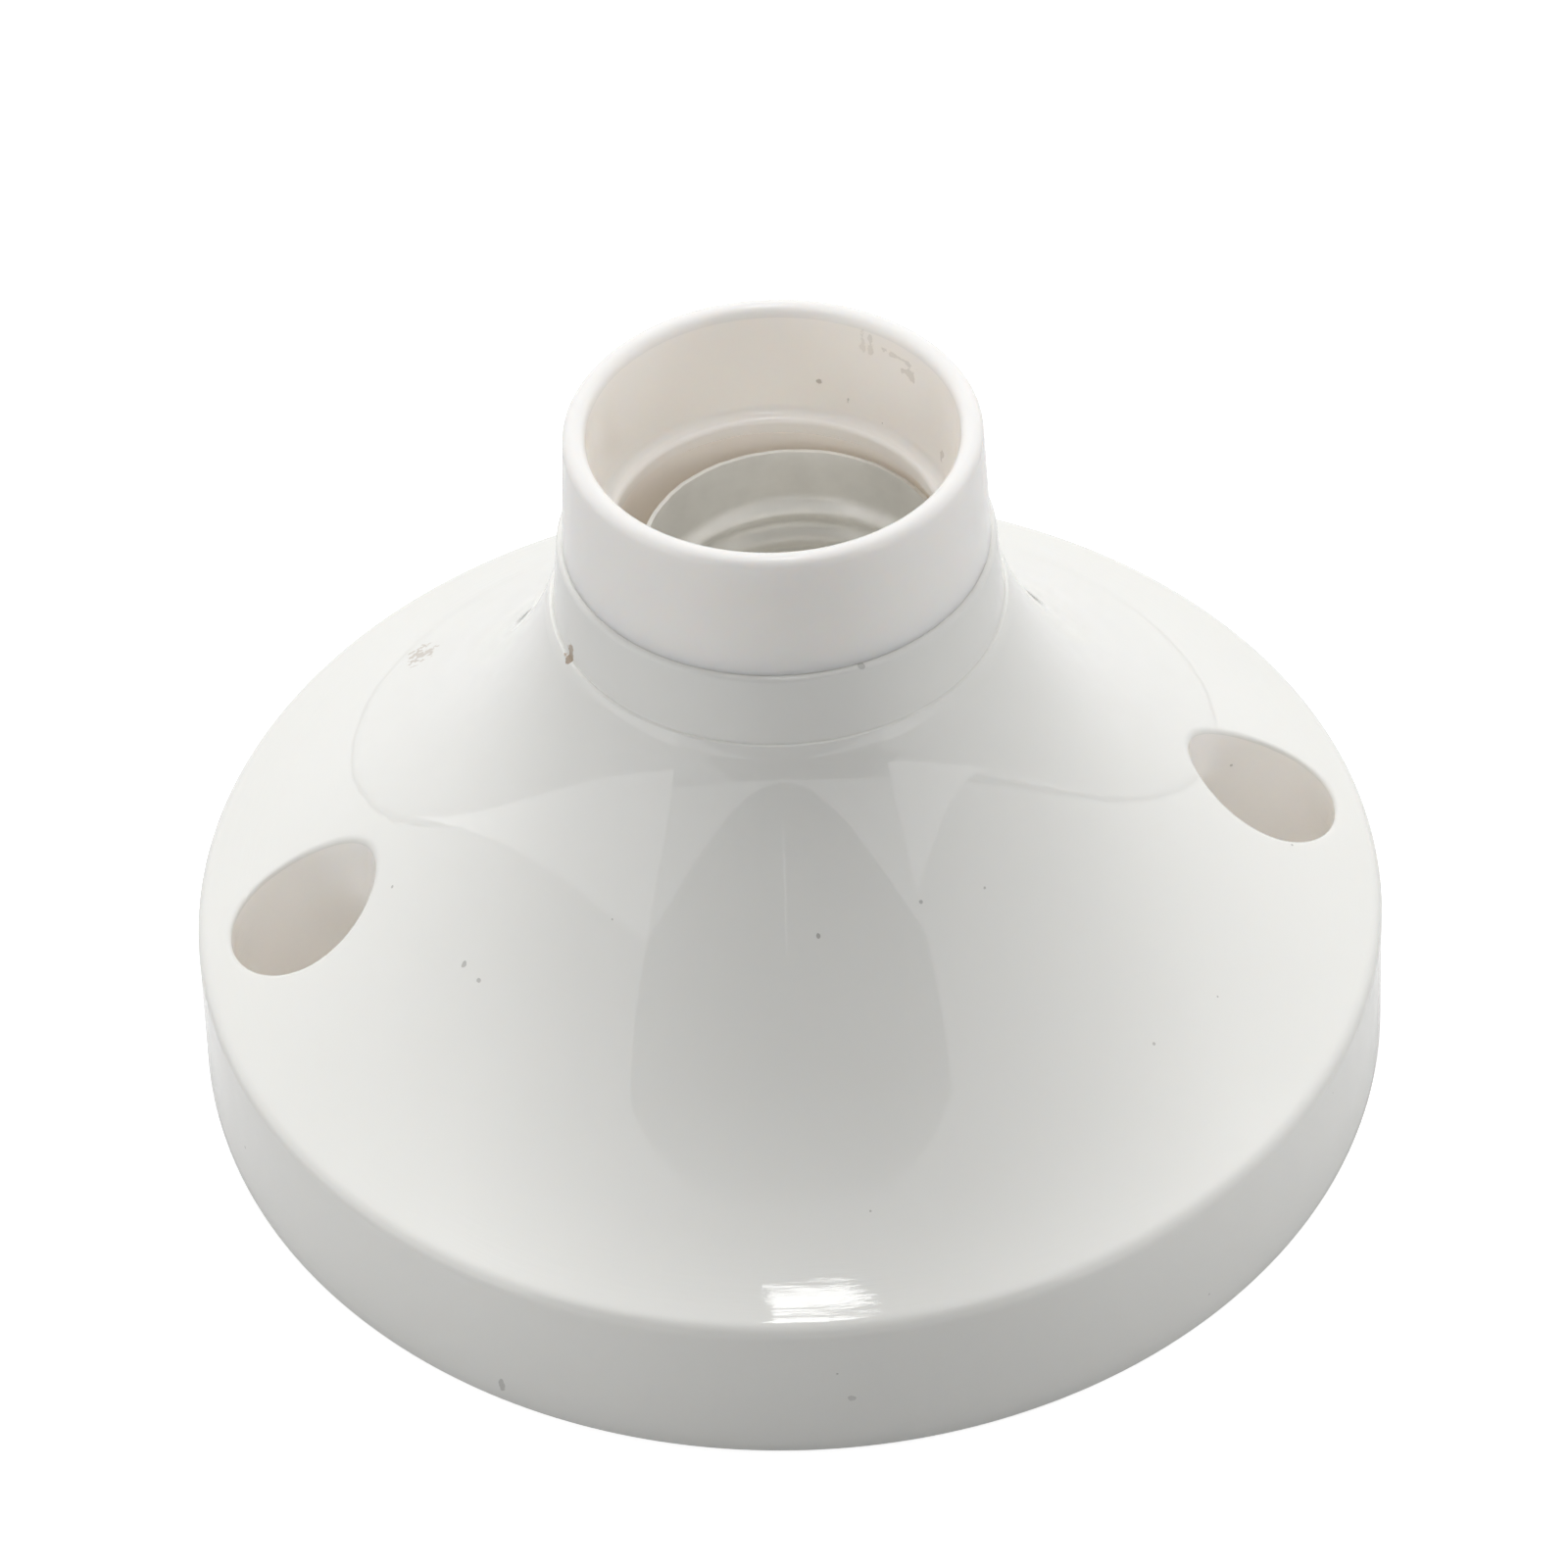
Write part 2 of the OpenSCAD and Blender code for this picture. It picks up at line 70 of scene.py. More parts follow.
def add_camera():
    """A camera turned by its heading from +Y towards +X, its pitch downwards and its roll."""
    forward = Vector((math.sin(CAMERA_HEADING) * math.cos(CAMERA_PITCH),
                      math.cos(CAMERA_HEADING) * math.cos(CAMERA_PITCH),
                      -math.sin(CAMERA_PITCH)))
    level = Vector((math.cos(CAMERA_HEADING), -math.sin(CAMERA_HEADING), 0))
    upright = level.cross(forward)
    right = level * math.cos(CAMERA_ROLL) + upright * math.sin(CAMERA_ROLL)
    up = upright * math.cos(CAMERA_ROLL) - level * math.sin(CAMERA_ROLL)
    lens = bpy.data.cameras.new("camera")
    lens.lens = CAMERA_LENS
    lens.shift_x, lens.shift_y = CAMERA_SHIFT
    lens.clip_start, lens.clip_end = 0.01, 20
    camera = bpy.data.objects.new("camera", lens)
    camera.matrix_world = Matrix.Translation(CAMERA_PLACE) @ Matrix((right, up, -forward)).transposed().to_4x4()
    bpy.context.scene.collection.objects.link(camera)
    bpy.context.scene.camera = camera
    return camera


camera = add_camera()
print("camera:", [round(value, 3) for value in camera.location], "lens", CAMERA_LENS, "mm")

# %% [markdown]
# The photograph is a white one: the table and the wall are burnt out to pure white, while the lamp holder itself
# stays a light grey. If the lamps were turned up until the floor went white, the plastic would go white too.
# So the floor and the world are white only to the camera, and to reflections, and grey to the light that falls.

# %% White to the camera, plain to the light
scene = bpy.context.scene
scene.view_settings.view_transform = "Standard"
WORLD_LIGHT = 0.05
FLOOR_COLOUR = 0.6


def by_ray(nodes, links, camera, mirror):
    """The first value where the camera looks, the second in reflections, and 0 for light that falls."""
    path = nodes.new("ShaderNodeLightPath")
    parts = []
    for ray, value in (("Is Camera Ray", camera), ("Is Glossy Ray", mirror)):
        part = nodes.new("ShaderNodeMath")
        part.operation = "MULTIPLY"
        links.new(path.outputs[ray], part.inputs[0])
        part.inputs[1].default_value = value
        parts.append(part.outputs[0])
    both = nodes.new("ShaderNodeMath")
    both.operation = "MAXIMUM"
    links.new(parts[0], both.inputs[0])
    links.new(parts[1], both.inputs[1])
    return both.outputs[0]


def build_world():
    """A world that lights softly and looks pure white."""
    world = bpy.data.worlds.new("white_studio")
    world.use_nodes = True
    nodes, links = world.node_tree.nodes, world.node_tree.links
    nodes.clear()
    falling = nodes.new("ShaderNodeBackground")
    falling.inputs["Color"].default_value = (0.98, 0.99, 1, 1)
    falling.inputs["Strength"].default_value = WORLD_LIGHT
    seen = nodes.new("ShaderNodeBackground")
    seen.inputs["Color"].default_value = (1, 1, 1, 1)
    seen.inputs["Strength"].default_value = 1
    mix = nodes.new("ShaderNodeMixShader")
    links.new(by_ray(nodes, links, 1, 1), mix.inputs[0])
    links.new(falling.outputs[0], mix.inputs[1])
    links.new(seen.outputs[0], mix.inputs[2])
    links.new(mix.outputs[0], nodes.new("ShaderNodeOutputWorld").inputs["Surface"])
    scene.world = world


build_world()
print("world: light", WORLD_LIGHT)

# %% [markdown]
# The floor has two jobs. It has to be as white as the photograph's, and it has to take the soft shadow of the
# skirt. A white that glows would drown the shadow, so the floor's own shading is kept, and brightened
# for the camera until the open floor is just white and only the contact shadow stays below it.

# %% Floor
FLOOR_SIZE = 6.0
FLOOR_GLOW, MIRRORED_GLOW = 0.78, 0.3


def flat_mesh(name, corners):
    """One flat four-cornered sheet."""
    mesh = bpy.data.meshes.new(name)
    mesh.from_pydata(corners, [], [(0, 1, 2, 3)])
    sheet = bpy.data.objects.new(name, mesh)
    scene.collection.objects.link(sheet)
    return sheet


def build_floor():
    """The table, which rests at the foot of the skirt."""
    half = FLOOR_SIZE / 2
    floor = flat_mesh("floor", [(-half, -half, 0), (half, -half, 0), (half, half, 0), (-half, half, 0)])
    material = bpy.data.materials.new("white_table")
    material.use_nodes = True
    nodes, links = material.node_tree.nodes, material.node_tree.links
    nodes.clear()
    matt = nodes.new("ShaderNodeBsdfDiffuse")
    matt.inputs["Color"].default_value = (FLOOR_COLOUR, FLOOR_COLOUR, FLOOR_COLOUR, 1)
    glow = nodes.new("ShaderNodeEmission")
    glow.inputs["Color"].default_value = (1, 1, 1, 1)
    links.new(by_ray(nodes, links, FLOOR_GLOW, MIRRORED_GLOW), glow.inputs["Strength"])
    both = nodes.new("ShaderNodeAddShader")
    links.new(matt.outputs[0], both.inputs[0])
    links.new(glow.outputs[0], both.inputs[1])
    links.new(both.outputs[0], nodes.new("ShaderNodeOutputMaterial").inputs["Surface"])
    floor.data.materials.append(material)
    return floor


floor = build_floor()
print("floor:", FLOOR_SIZE, "m wide")

# %% [markdown]
# Gloss only shows if there is something to mirror. The photograph's cone mirrors a white studio: white panels at
# both sides, a darker gap behind the camera between them, which makes the egg-shaped patch on its front,
# brighter low boards that rise towards that gap, a thin line of light in it, and the dark edge of the table,
# which is the crescent below the neck. All but the last are upright cards that bend round the object. The
# cards are seen by reflections alone, so they add no light and cast no shadow.

# %% Studio cards
CARD_DISTANCE = 0.80
GAP_MIDDLE, GAP_HALF = -99, 44
GAP_LOW, GAP_LOW_SIDE, GAP_HIGH, GAP_CORNER = 3, 24, 69, 22
GAP_FADE = (44, 70)
LEFT_BOARD, RIGHT_BOARD = (-143, -226, 24, 1.3), (-55, -10, 19, 2.0)
BOARD_GLOW = 1.75
LINE_HALF, LINE_LOW, LINE_HIGH, LINE_GLOW = 0.3, 9, 28, 1.3
TABLE_EDGE = [(-0.38, -0.43), (0.38, -0.43), (1.5, -2.9), (-1.5, -2.9)]


def card_material(name, colour, glow=0.0, fade=None):
    """A matt card, or a glowing board if glow is given. A fade, two elevations, turns it white on the way up."""
    material = bpy.data.materials.new(name)
    material.use_nodes = True
    shader = material.node_tree.nodes["Principled BSDF"]
    shader.inputs["Base Color"].default_value = (colour, colour, colour, 1)
    shader.inputs["Roughness"].default_value = 1.0
    shader.inputs["Specular IOR Level"].default_value = 0.0
    shader.inputs["Emission Color"].default_value = (1, 1, 1, 1)
    shader.inputs["Emission Strength"].default_value = glow
    if fade:
        nodes, links = material.node_tree.nodes, material.node_tree.links
        place = nodes.new("ShaderNodeSeparateXYZ")
        links.new(nodes.new("ShaderNodeTexCoord").outputs["Object"], place.inputs[0])
        rise = nodes.new("ShaderNodeMapRange")
        links.new(place.outputs["Z"], rise.inputs["Value"])
        for label, elevation in zip(("From Min", "From Max"), fade):
            rise.inputs[label].default_value = CARD_DISTANCE * math.tan(math.radians(elevation))
        links.new(rise.outputs["Result"], shader.inputs["Emission Strength"])
    return material


def reflections_only(thing):
    """Hides a card from the camera and from the light that falls."""
    thing.visible_camera = False
    thing.visible_diffuse = False
    thing.visible_shadow = False


def card(name, start, end, low, high, material, nearer=1.0):
    """An upright card from one azimuth to another, in degrees. Low and high give its edges' elevation at a share
    of the way."""
    steps = 40
    distance = CARD_DISTANCE * nearer
    points = []
    for i in range(steps + 1):
        share = i / steps
        angle = math.radians(start + (end - start) * share)
        for elevation in (low(share), high(share)):
            points.append((distance * math.cos(angle), distance * math.sin(angle),
                           distance * math.tan(math.radians(elevation))))
    faces = [(2 * i, 2 * i + 2, 2 * i + 3, 2 * i + 1) for i in range(steps)]
    mesh = bpy.data.meshes.new(name)
    mesh.from_pydata(points, [], faces)
    mesh.materials.append(material)
    made = bpy.data.objects.new(name, mesh)
    scene.collection.objects.link(made)
    reflections_only(made)


black_cloth = card_material("black_cloth", 0.02)
bright_board = card_material("bright_board", 0.0, BOARD_GLOW)
card("dark_gap", GAP_MIDDLE - GAP_HALF, GAP_MIDDLE + GAP_HALF,
     lambda share: GAP_LOW + (GAP_LOW_SIDE - GAP_LOW) * (2 * share - 1) ** 2,
     lambda share: GAP_HIGH - GAP_CORNER * (2 * share - 1) ** 4, card_material("fading_cloth", 0.02, fade=GAP_FADE))
table_edge = flat_mesh("table_edge", [(x, y, 0.002) for x, y in TABLE_EDGE])
table_edge.data.materials.append(black_cloth)
reflections_only(table_edge)
card("light_line", GAP_MIDDLE - LINE_HALF, GAP_MIDDLE + LINE_HALF, lambda share: LINE_LOW, lambda share: LINE_HIGH,
     card_material("light_line", 0.0, LINE_GLOW), nearer=0.97)
for board_name, (start, end, height, fall) in (("left_board", LEFT_BOARD), ("right_board", RIGHT_BOARD)):
    card(board_name, start, end, lambda share: -1, lambda share: height * (1 - share) ** fall, bright_board)
print("cards: gap, line and two boards at", CARD_DISTANCE, "m, and the table's edge")

# %% Lamps
LAMPS = {
    "back_lamp": dict(place=(0, 0.77, 0.95), size=(0.6, 0.6), power=7.9, mirrored=False),
    "top_lamp": dict(place=(0.02, 0.12, 1.2), size=(0.3, 0.3), power=3.7, mirrored=False),
    "front_lamp": dict(place=(0, -1.0, 0.6), size=(0.6, 0.6), power=2.4, mirrored=False),
    "right_lamp": dict(place=(1.16, 0, 0.34), size=(0.6, 0.6), power=4.7, mirrored=False),
    "left_lamp": dict(place=(-1.16, 0, 0.34), size=(0.6, 0.6), power=4.3, mirrored=False),
    "small_lamp": dict(place=(0.02, 0.06, 1.0), size=(0.11, 0.14), power=0.48, mirrored=True),
}


def add_lamp(name, place, size, power, mirrored):
    """A rectangular lamp that looks at the middle of the lamp holder."""
    data = bpy.data.lights.new(name, "AREA")
    data.shape = "RECTANGLE"
    data.size, data.size_y = size
    data.energy = power
    lamp = bpy.data.objects.new(name, data)
    lamp.location = place
    aim = Vector((0, 0, 0.03)) - Vector(place)
    lamp.rotation_euler = aim.to_track_quat("-Z", "Y").to_euler()
    lamp.visible_glossy = mirrored
    lamp.visible_camera = False
    scene.collection.objects.link(lamp)
    return lamp


for lamp_name, facts in LAMPS.items():
    add_lamp(lamp_name, **facts)
print("lamps:", ", ".join(LAMPS))

# %% [markdown]
# Every big piece here is round, so the first tool is a lathe: an outline of radius and height, copied round the
# axis and joined with four-sided faces. The outline can be closed, for a ring such as the barrel, or open, for
# a stretch that will be welded to others. Rounded corners are short arcs in the outline.

# %% Lathe
TURN_STEPS = 288


def arc(centre, radius, start, end, steps=8):
    """Points on a rounding, from one angle in degrees to another."""
    return [(centre[0] + radius * math.cos(math.radians(start + (end - start) * i / steps)),
             centre[1] + radius * math.sin(math.radians(start + (end - start) * i / steps)))
            for i in range(steps + 1)]


def straight(start, end, steps):
    """Points along a straight stretch, both ends included."""
    return [(start[0] + (end[0] - start[0]) * i / steps, start[1] + (end[1] - start[1]) * i / steps)
            for i in range(steps + 1)]


class Patchwork:
    """Collects points and faces, in millimetres, that are welded into one mesh at the end."""

    def __init__(self):
        self.points = []
        self.faces = []

    def add(self, points, faces):
        first = len(self.points)
        self.points += [tuple(map(float, point)) for point in points]
        self.faces += [tuple(first + corner for corner in face) for face in faces]

    def rows(self, rings, closed=False):
        """Joins rings of points, one after another. Going up the list with the axis to the left faces outwards."""
        count = len(rings[0])
        points = [point for ring in rings for point in ring]
        faces = []
        for row in range(len(rings) if closed else len(rings) - 1):
            low, high = row * count, (row + 1) % len(rings) * count
            for i in range(count):
                j = (i + 1) % count
                faces.append((low + i, low + j, high + j, high + i))
        self.add(points, faces)

    def lathe(self, outline, centre=(0, 0), steps=TURN_STEPS, closed=False):
        """Turns an outline of radius and height about an upright axis."""
        self.rows([circle(radius, height, centre, steps) for radius, height in outline], closed)

    def disc(self, radius, height, centre, steps, up):
        """Closes a ring with one many-sided face."""
        ring = list(range(steps))
        self.add(circle(radius, height, centre, steps), [ring if up else ring[::-1]])

    def piece(self, name, material, sharp=40, slots=None):
        """Welds the patches and makes the object, shaded smooth with its corners kept sharp."""
        mesh = bpy.data.meshes.new(name)
        mesh.from_pydata([(x * MM, y * MM, z * MM) for x, y, z in self.points], [], self.faces)
        if slots:
            mesh.polygons.foreach_set("material_index", slots)
        made = bpy.data.objects.new(name, mesh)
        scene.collection.objects.link(made)
        weld(mesh)
        mesh.shade_smooth()
        mesh.set_sharp_from_angle(angle=math.radians(sharp))
        mesh.materials.append(material)
        return made


def circle(radius, height, centre=(0, 0), steps=TURN_STEPS):
    """One ring of points."""
    return [(centre[0] + radius * math.cos(math.tau * i / steps),
             centre[1] + radius * math.sin(math.tau * i / steps), height) for i in range(steps)]


def weld(mesh):
    """Merges the points that patches share, and turns every face outwards."""
    work = bmesh.new()
    work.from_mesh(mesh)
    bmesh.ops.remove_doubles(work, verts=work.verts, dist=WELD_REACH)
    bmesh.ops.dissolve_degenerate(work, edges=work.edges, dist=WELD_REACH / 4)
    bmesh.ops.recalc_face_normals(work, faces=work.faces)
    open_edges = sum(1 for edge in work.edges if not edge.is_manifold)
    print("  welded:", len(work.faces), "faces,", open_edges, "open edges")
    work.to_mesh(mesh)
    work.free()


WELD_REACH = 0.000004

# %% [markdown]
# Moulded plastic is never one flat colour. Its gloss is broken by a very fine orange peel, its white drifts a
# little over the surface, and dust and smudges settle on it. These effects serve both plastics, so each is a
# node group: built once, with its own inputs, and placed in each material with that material's values.

# %% Node group tools
def new_group(name, inputs, outputs):
    """An empty shader node group with named sockets."""
    group = bpy.data.node_groups.new(name, "ShaderNodeTree")
    for label, kind, value in inputs:
        socket = group.interface.new_socket(label, in_out="INPUT", socket_type="NodeSocket" + kind)
        if value is not None:
            socket.default_value = value
    for label, kind in outputs:
        group.interface.new_socket(label, in_out="OUTPUT", socket_type="NodeSocket" + kind)
    return group, group.nodes.new("NodeGroupInput"), group.nodes.new("NodeGroupOutput")


def noise(group, place, scale, detail=2.0, roughness=0.5):
    """A noise that reads the place on the object. The scale may be a number or a socket."""
    node = group.nodes.new("ShaderNodeTexNoise")
    node.inputs["Detail"].default_value = detail
    node.inputs["Roughness"].default_value = roughness
    group.links.new(place, node.inputs["Vector"])
    set_or_link(group, scale, node.inputs["Scale"])
    return node.outputs["Fac"]


def set_or_link(group, value, socket):
    """Puts a number on a socket, or wires another socket to it."""
    if isinstance(value, (int, float)):
        socket.default_value = value
    else:
        group.links.new(value, socket)


def math_node(group, operation, first, second=0.0, clamp=False):
    """One sum, product or other operation on two values."""
    node = group.nodes.new("ShaderNodeMath")
    node.operation = operation
    node.use_clamp = clamp
    set_or_link(group, first, node.inputs[0])
    set_or_link(group, second, node.inputs[1])
    return node.outputs[0]


def ramp(group, value, low, high, low_out=0.0, high_out=1.0):
    """Spreads the stretch from low to high over the two results, with soft ends."""
    node = group.nodes.new("ShaderNodeMapRange")
    node.interpolation_type = "SMOOTHSTEP"
    set_or_link(group, value, node.inputs["Value"])
    for label, number in (("From Min", low), ("From Max", high), ("To Min", low_out), ("To Max", high_out)):
        set_or_link(group, number, node.inputs[label])
    return node.outputs["Result"]


def mix_colour(group, amount, first, second):
    """One colour over another. Colours may be tuples or sockets."""
    node = group.nodes.new("ShaderNodeMix")
    node.data_type = "RGBA"
    set_or_link(group, amount, node.inputs[0])
    for value, socket in ((first, node.inputs[6]), (second, node.inputs[7])):
        if isinstance(value, tuple):
            socket.default_value = (*value, 1)
        else:
            group.links.new(value, socket)
    return node.outputs[2]


def place_on_object(group):
    """Where a point is on the object, in metres from its origin."""
    return group.nodes.new("ShaderNodeTexCoord").outputs["Object"]


# %% Moulded skin
def build_moulded_skin():
    """The look of an injection-moulded surface: drifting tone, fine orange peel, faint flow marks."""
    group, given, out = new_group(
        "moulded_skin",
        [("Colour", "Color", (0.8, 0.8, 0.8, 1)), ("Drift", "Float", 0.02), ("Gloss", "Float", 0.12),
         ("Peel Scale", "Float", 260.0)],
        [("Colour", "Color"), ("Roughness", "Float"), ("Height", "Float")])
    place = place_on_object(group)
    cloud = noise(group, place, 38.0, 3.0)
    tone = ramp(group, cloud, 0.3, 0.7, -1.0, 1.0)
    shift = math_node(group, "MULTIPLY", tone, given.outputs["Drift"])
    bright = group.nodes.new("ShaderNodeBrightContrast")
    group.links.new(given.outputs["Colour"], bright.inputs["Color"])
    group.links.new(shift, bright.inputs["Bright"])
    patchy = noise(group, place, 70.0, 4.0)
    rough = math_node(group, "ADD", given.outputs["Gloss"], ramp(group, patchy, 0.35, 0.75, 0.0, 0.02))
    peel = noise(group, place, given.outputs["Peel Scale"], 1.0)
    ripple = noise(group, place, 900.0, 2.0)
    height = math_node(group, "ADD", peel, math_node(group, "MULTIPLY", ripple, 0.12))
    group.links.new(bright.outputs[0], out.inputs["Colour"])
    group.links.new(rough, out.inputs["Roughness"])
    group.links.new(height, out.inputs["Height"])
    return group


moulded_skin = build_moulded_skin()
print("group:", moulded_skin.name)

# %% Tooling marks
def build_tooling():
    """Fine wavy lines that run round the axis, as a turned mould leaves them, on a band of the surface."""
    group, given, out = new_group(
        "tooling_marks",
        [("Scale", "Float", 3500.0), ("Stretch", "Float", 12.0), ("Low", "Float", 0.0), ("High", "Float", 1.0)],
        [("Height", "Float")])
    spot = group.nodes.new("ShaderNodeSeparateXYZ")
    group.links.new(place_on_object(group), spot.inputs[0])
    x, y, z = spot.outputs
    radius = math_node(group, "SQRT", math_node(group, "ADD", math_node(group, "MULTIPLY", x, x),
                                                math_node(group, "MULTIPLY", y, y)))
    turn = math_node(group, "MULTIPLY", math_node(group, "ARCTAN2", y, x), radius)
    along = group.nodes.new("ShaderNodeCombineXYZ")
    group.links.new(math_node(group, "DIVIDE", turn, given.outputs["Stretch"]), along.inputs[0])
    group.links.new(radius, along.inputs[1])
    group.links.new(z, along.inputs[2])
    lines = noise(group, along.outputs[0], given.outputs["Scale"], 3.0, 0.6)
    middle = math_node(group, "MULTIPLY", math_node(group, "ADD", given.outputs["Low"], given.outputs["High"]), 0.5)
    rise = ramp(group, radius, given.outputs["Low"], middle)
    fall = ramp(group, radius, given.outputs["High"], middle)
    group.links.new(math_node(group, "MULTIPLY", lines, math_node(group, "MULTIPLY", rise, fall)),
                    out.inputs["Height"])
    return group


tooling_marks = build_tooling()
print("group:", tooling_marks.name)

# %% Specks of dust
def build_dust():
    """Scattered dark specks, each a small cell of a Voronoi pattern that the cell's random colour lets through."""
    group, given, out = new_group(
        "dust",
        [("Scale", "Float", 300.0), ("Size", "Float", 0.12), ("Amount", "Float", 0.2)],
        [("Mask", "Float")])
    place = place_on_object(group)
    cells = group.nodes.new("ShaderNodeTexVoronoi")
    group.links.new(place, cells.inputs["Vector"])
    group.links.new(given.outputs["Scale"], cells.inputs["Scale"])
    dot = math_node(group, "LESS_THAN", cells.outputs["Distance"], given.outputs["Size"])
    chance = group.nodes.new("ShaderNodeSeparateColor")
    group.links.new(cells.outputs["Color"], chance.inputs[0])
    chosen = math_node(group, "LESS_THAN", chance.outputs[0], given.outputs["Amount"])
    group.links.new(math_node(group, "MULTIPLY", dot, chosen), out.inputs["Mask"])
    return group


dust = build_dust()
print("group:", dust.name)

# %% One dirt mark
def build_mark():
    """A single smear or speck at a given place, with a ragged edge."""
    group, given, out = new_group(
        "dirt_mark",
        [("Place", "Vector", (0.0, 0.0, 0.0)), ("Size", "Vector", (0.001, 0.001, 0.001)),
         ("Ragged", "Float", 0.5)],
        [("Mask", "Float")])
    place = place_on_object(group)
    away = group.nodes.new("ShaderNodeVectorMath")
    away.operation = "SUBTRACT"
    group.links.new(place, away.inputs[0])
    group.links.new(given.outputs["Place"], away.inputs[1])
    scaled = group.nodes.new("ShaderNodeVectorMath")
    scaled.operation = "DIVIDE"
    group.links.new(away.outputs[0], scaled.inputs[0])
    group.links.new(given.outputs["Size"], scaled.inputs[1])
    length = group.nodes.new("ShaderNodeVectorMath")
    length.operation = "LENGTH"
    group.links.new(scaled.outputs[0], length.inputs[0])
    rag = ramp(group, noise(group, place, 1400.0, 3.0), 0.3, 0.7, -1.0, 1.0)
    edge = math_node(group, "ADD", length.outputs["Value"],
                     math_node(group, "MULTIPLY", rag, given.outputs["Ragged"]))
    group.links.new(ramp(group, edge, 1.0, 0.75, 0.0, 1.0), out.inputs["Mask"])
    return group


dirt_mark = build_mark()
print("group:", dirt_mark.name)

# %% [markdown]
# A finish is put together the same way each time: place the groups, tint the colour with their masks, and
# join colour, roughness and bump to one Principled shader. The shader's constant values are set on its own
# sockets, where an export can read them.

# %% Finish tools
def new_finish(name, **constants):
    """A material with a Principled shader and the given constants on its sockets."""
    material = bpy.data.materials.new(name)
    material.use_nodes = True
    shader = material.node_tree.nodes["Principled BSDF"]
    for label, value in constants.items():
        shader.inputs[label.replace("_", " ")].default_value = value
    return material, material.node_tree, shader


def place_group(tree, group, **values):
    """Puts a node group into a material, with its values set by name."""
    node = tree.nodes.new("ShaderNodeGroup")
    node.node_tree = group
    for label, value in values.items():
        socket = node.inputs[label.replace("_", " ")]
        if hasattr(value, "is_output"):
            tree.links.new(value, socket)
        else:
            socket.default_value = value
    return node


def bump(tree, height, strength, distance, shader):
    """Joins a height to the shader's normal."""
    node = tree.nodes.new("ShaderNodeBump")
    node.inputs["Strength"].default_value = strength
    node.inputs["Distance"].default_value = distance
    tree.links.new(height, node.inputs["Height"])
    tree.links.new(node.outputs["Normal"], shader.inputs["Normal"])


def add_marks(tree, colour, marks):
    """Lays each dirt mark over a colour."""
    for spot, size, ragged, tint, strength in marks:
        mark = place_group(tree, dirt_mark, Place=spot, Size=size, Ragged=ragged)
        amount = math_node(tree, "MULTIPLY", mark.outputs["Mask"], strength)
        colour = mix_colour(tree, amount, colour, tint)
    return colour


def on_surface(radius, azimuth, height):
    """A place given by radius and height in millimetres and azimuth in degrees, in metres."""
    angle = math.radians(azimuth)
    return (radius * math.cos(angle) * MM, radius * math.sin(angle) * MM, height * MM)


# %% [markdown]
# The cover is glossy neutral white plastic. The photograph shows a few marks of handling on it: a brown
# one at the seam of the neck, a fainter brown scratch at the back left, and some specks. Thin white plastic
# lets some light through, and it comes out warm in the hollows: in the wells, and beside the shell. A faint
# warm glow on those faces stands in for it, since the light would take too long to trace through the walls.

# %% Cover plastic
COVER_COLOUR = (0.87, 0.865, 0.83)
THROUGH_COLOUR = (1.0, 0.82, 0.64)
SHOULDER_MARKS, TOOLING_DEPTH = (0.0475, 0.058), 1.7
BROWN = (0.32, 0.2, 0.1)
GREY_DIRT = (0.25, 0.24, 0.22)
COVER_MARKS = [
    (on_surface(20.6, -163.7, 52.6), (0.0007, 0.0007, 0.0012), 0.5, BROWN, 0.75),
    (on_surface(46.3, 133.8, 19.8), (0.0012, 0.0018, 0.0012), 0.8, BROWN, 0.4),
    (on_surface(36.9, -151.7, 27.0), (0.00035, 0.00035, 0.00035), 0.3, GREY_DIRT, 0.5),
    (on_surface(37.0, -147.9, 26.9), (0.0003, 0.0003, 0.0003), 0.3, GREY_DIRT, 0.45),
    (on_surface(28.9, -92.7, 36.4), (0.0002, 0.0002, 0.0004), 0.3, GREY_DIRT, 0.55),
    (on_surface(28.3, -73.1, 37.2), (0.0002, 0.0002, 0.0002), 0.3, GREY_DIRT, 0.5),
    (on_surface(57.6, -126.1, 2.0), (0.0003, 0.0003, 0.001), 0.4, GREY_DIRT, 0.4),
    (on_surface(57.4, -93.5, 6.8), (0.0004, 0.0004, 0.0004), 0.3, GREY_DIRT, 0.3),
    (on_surface(19.6, -76.6, 59.2), (0.0003, 0.0003, 0.0003), 0.5, GREY_DIRT, 0.35),
]


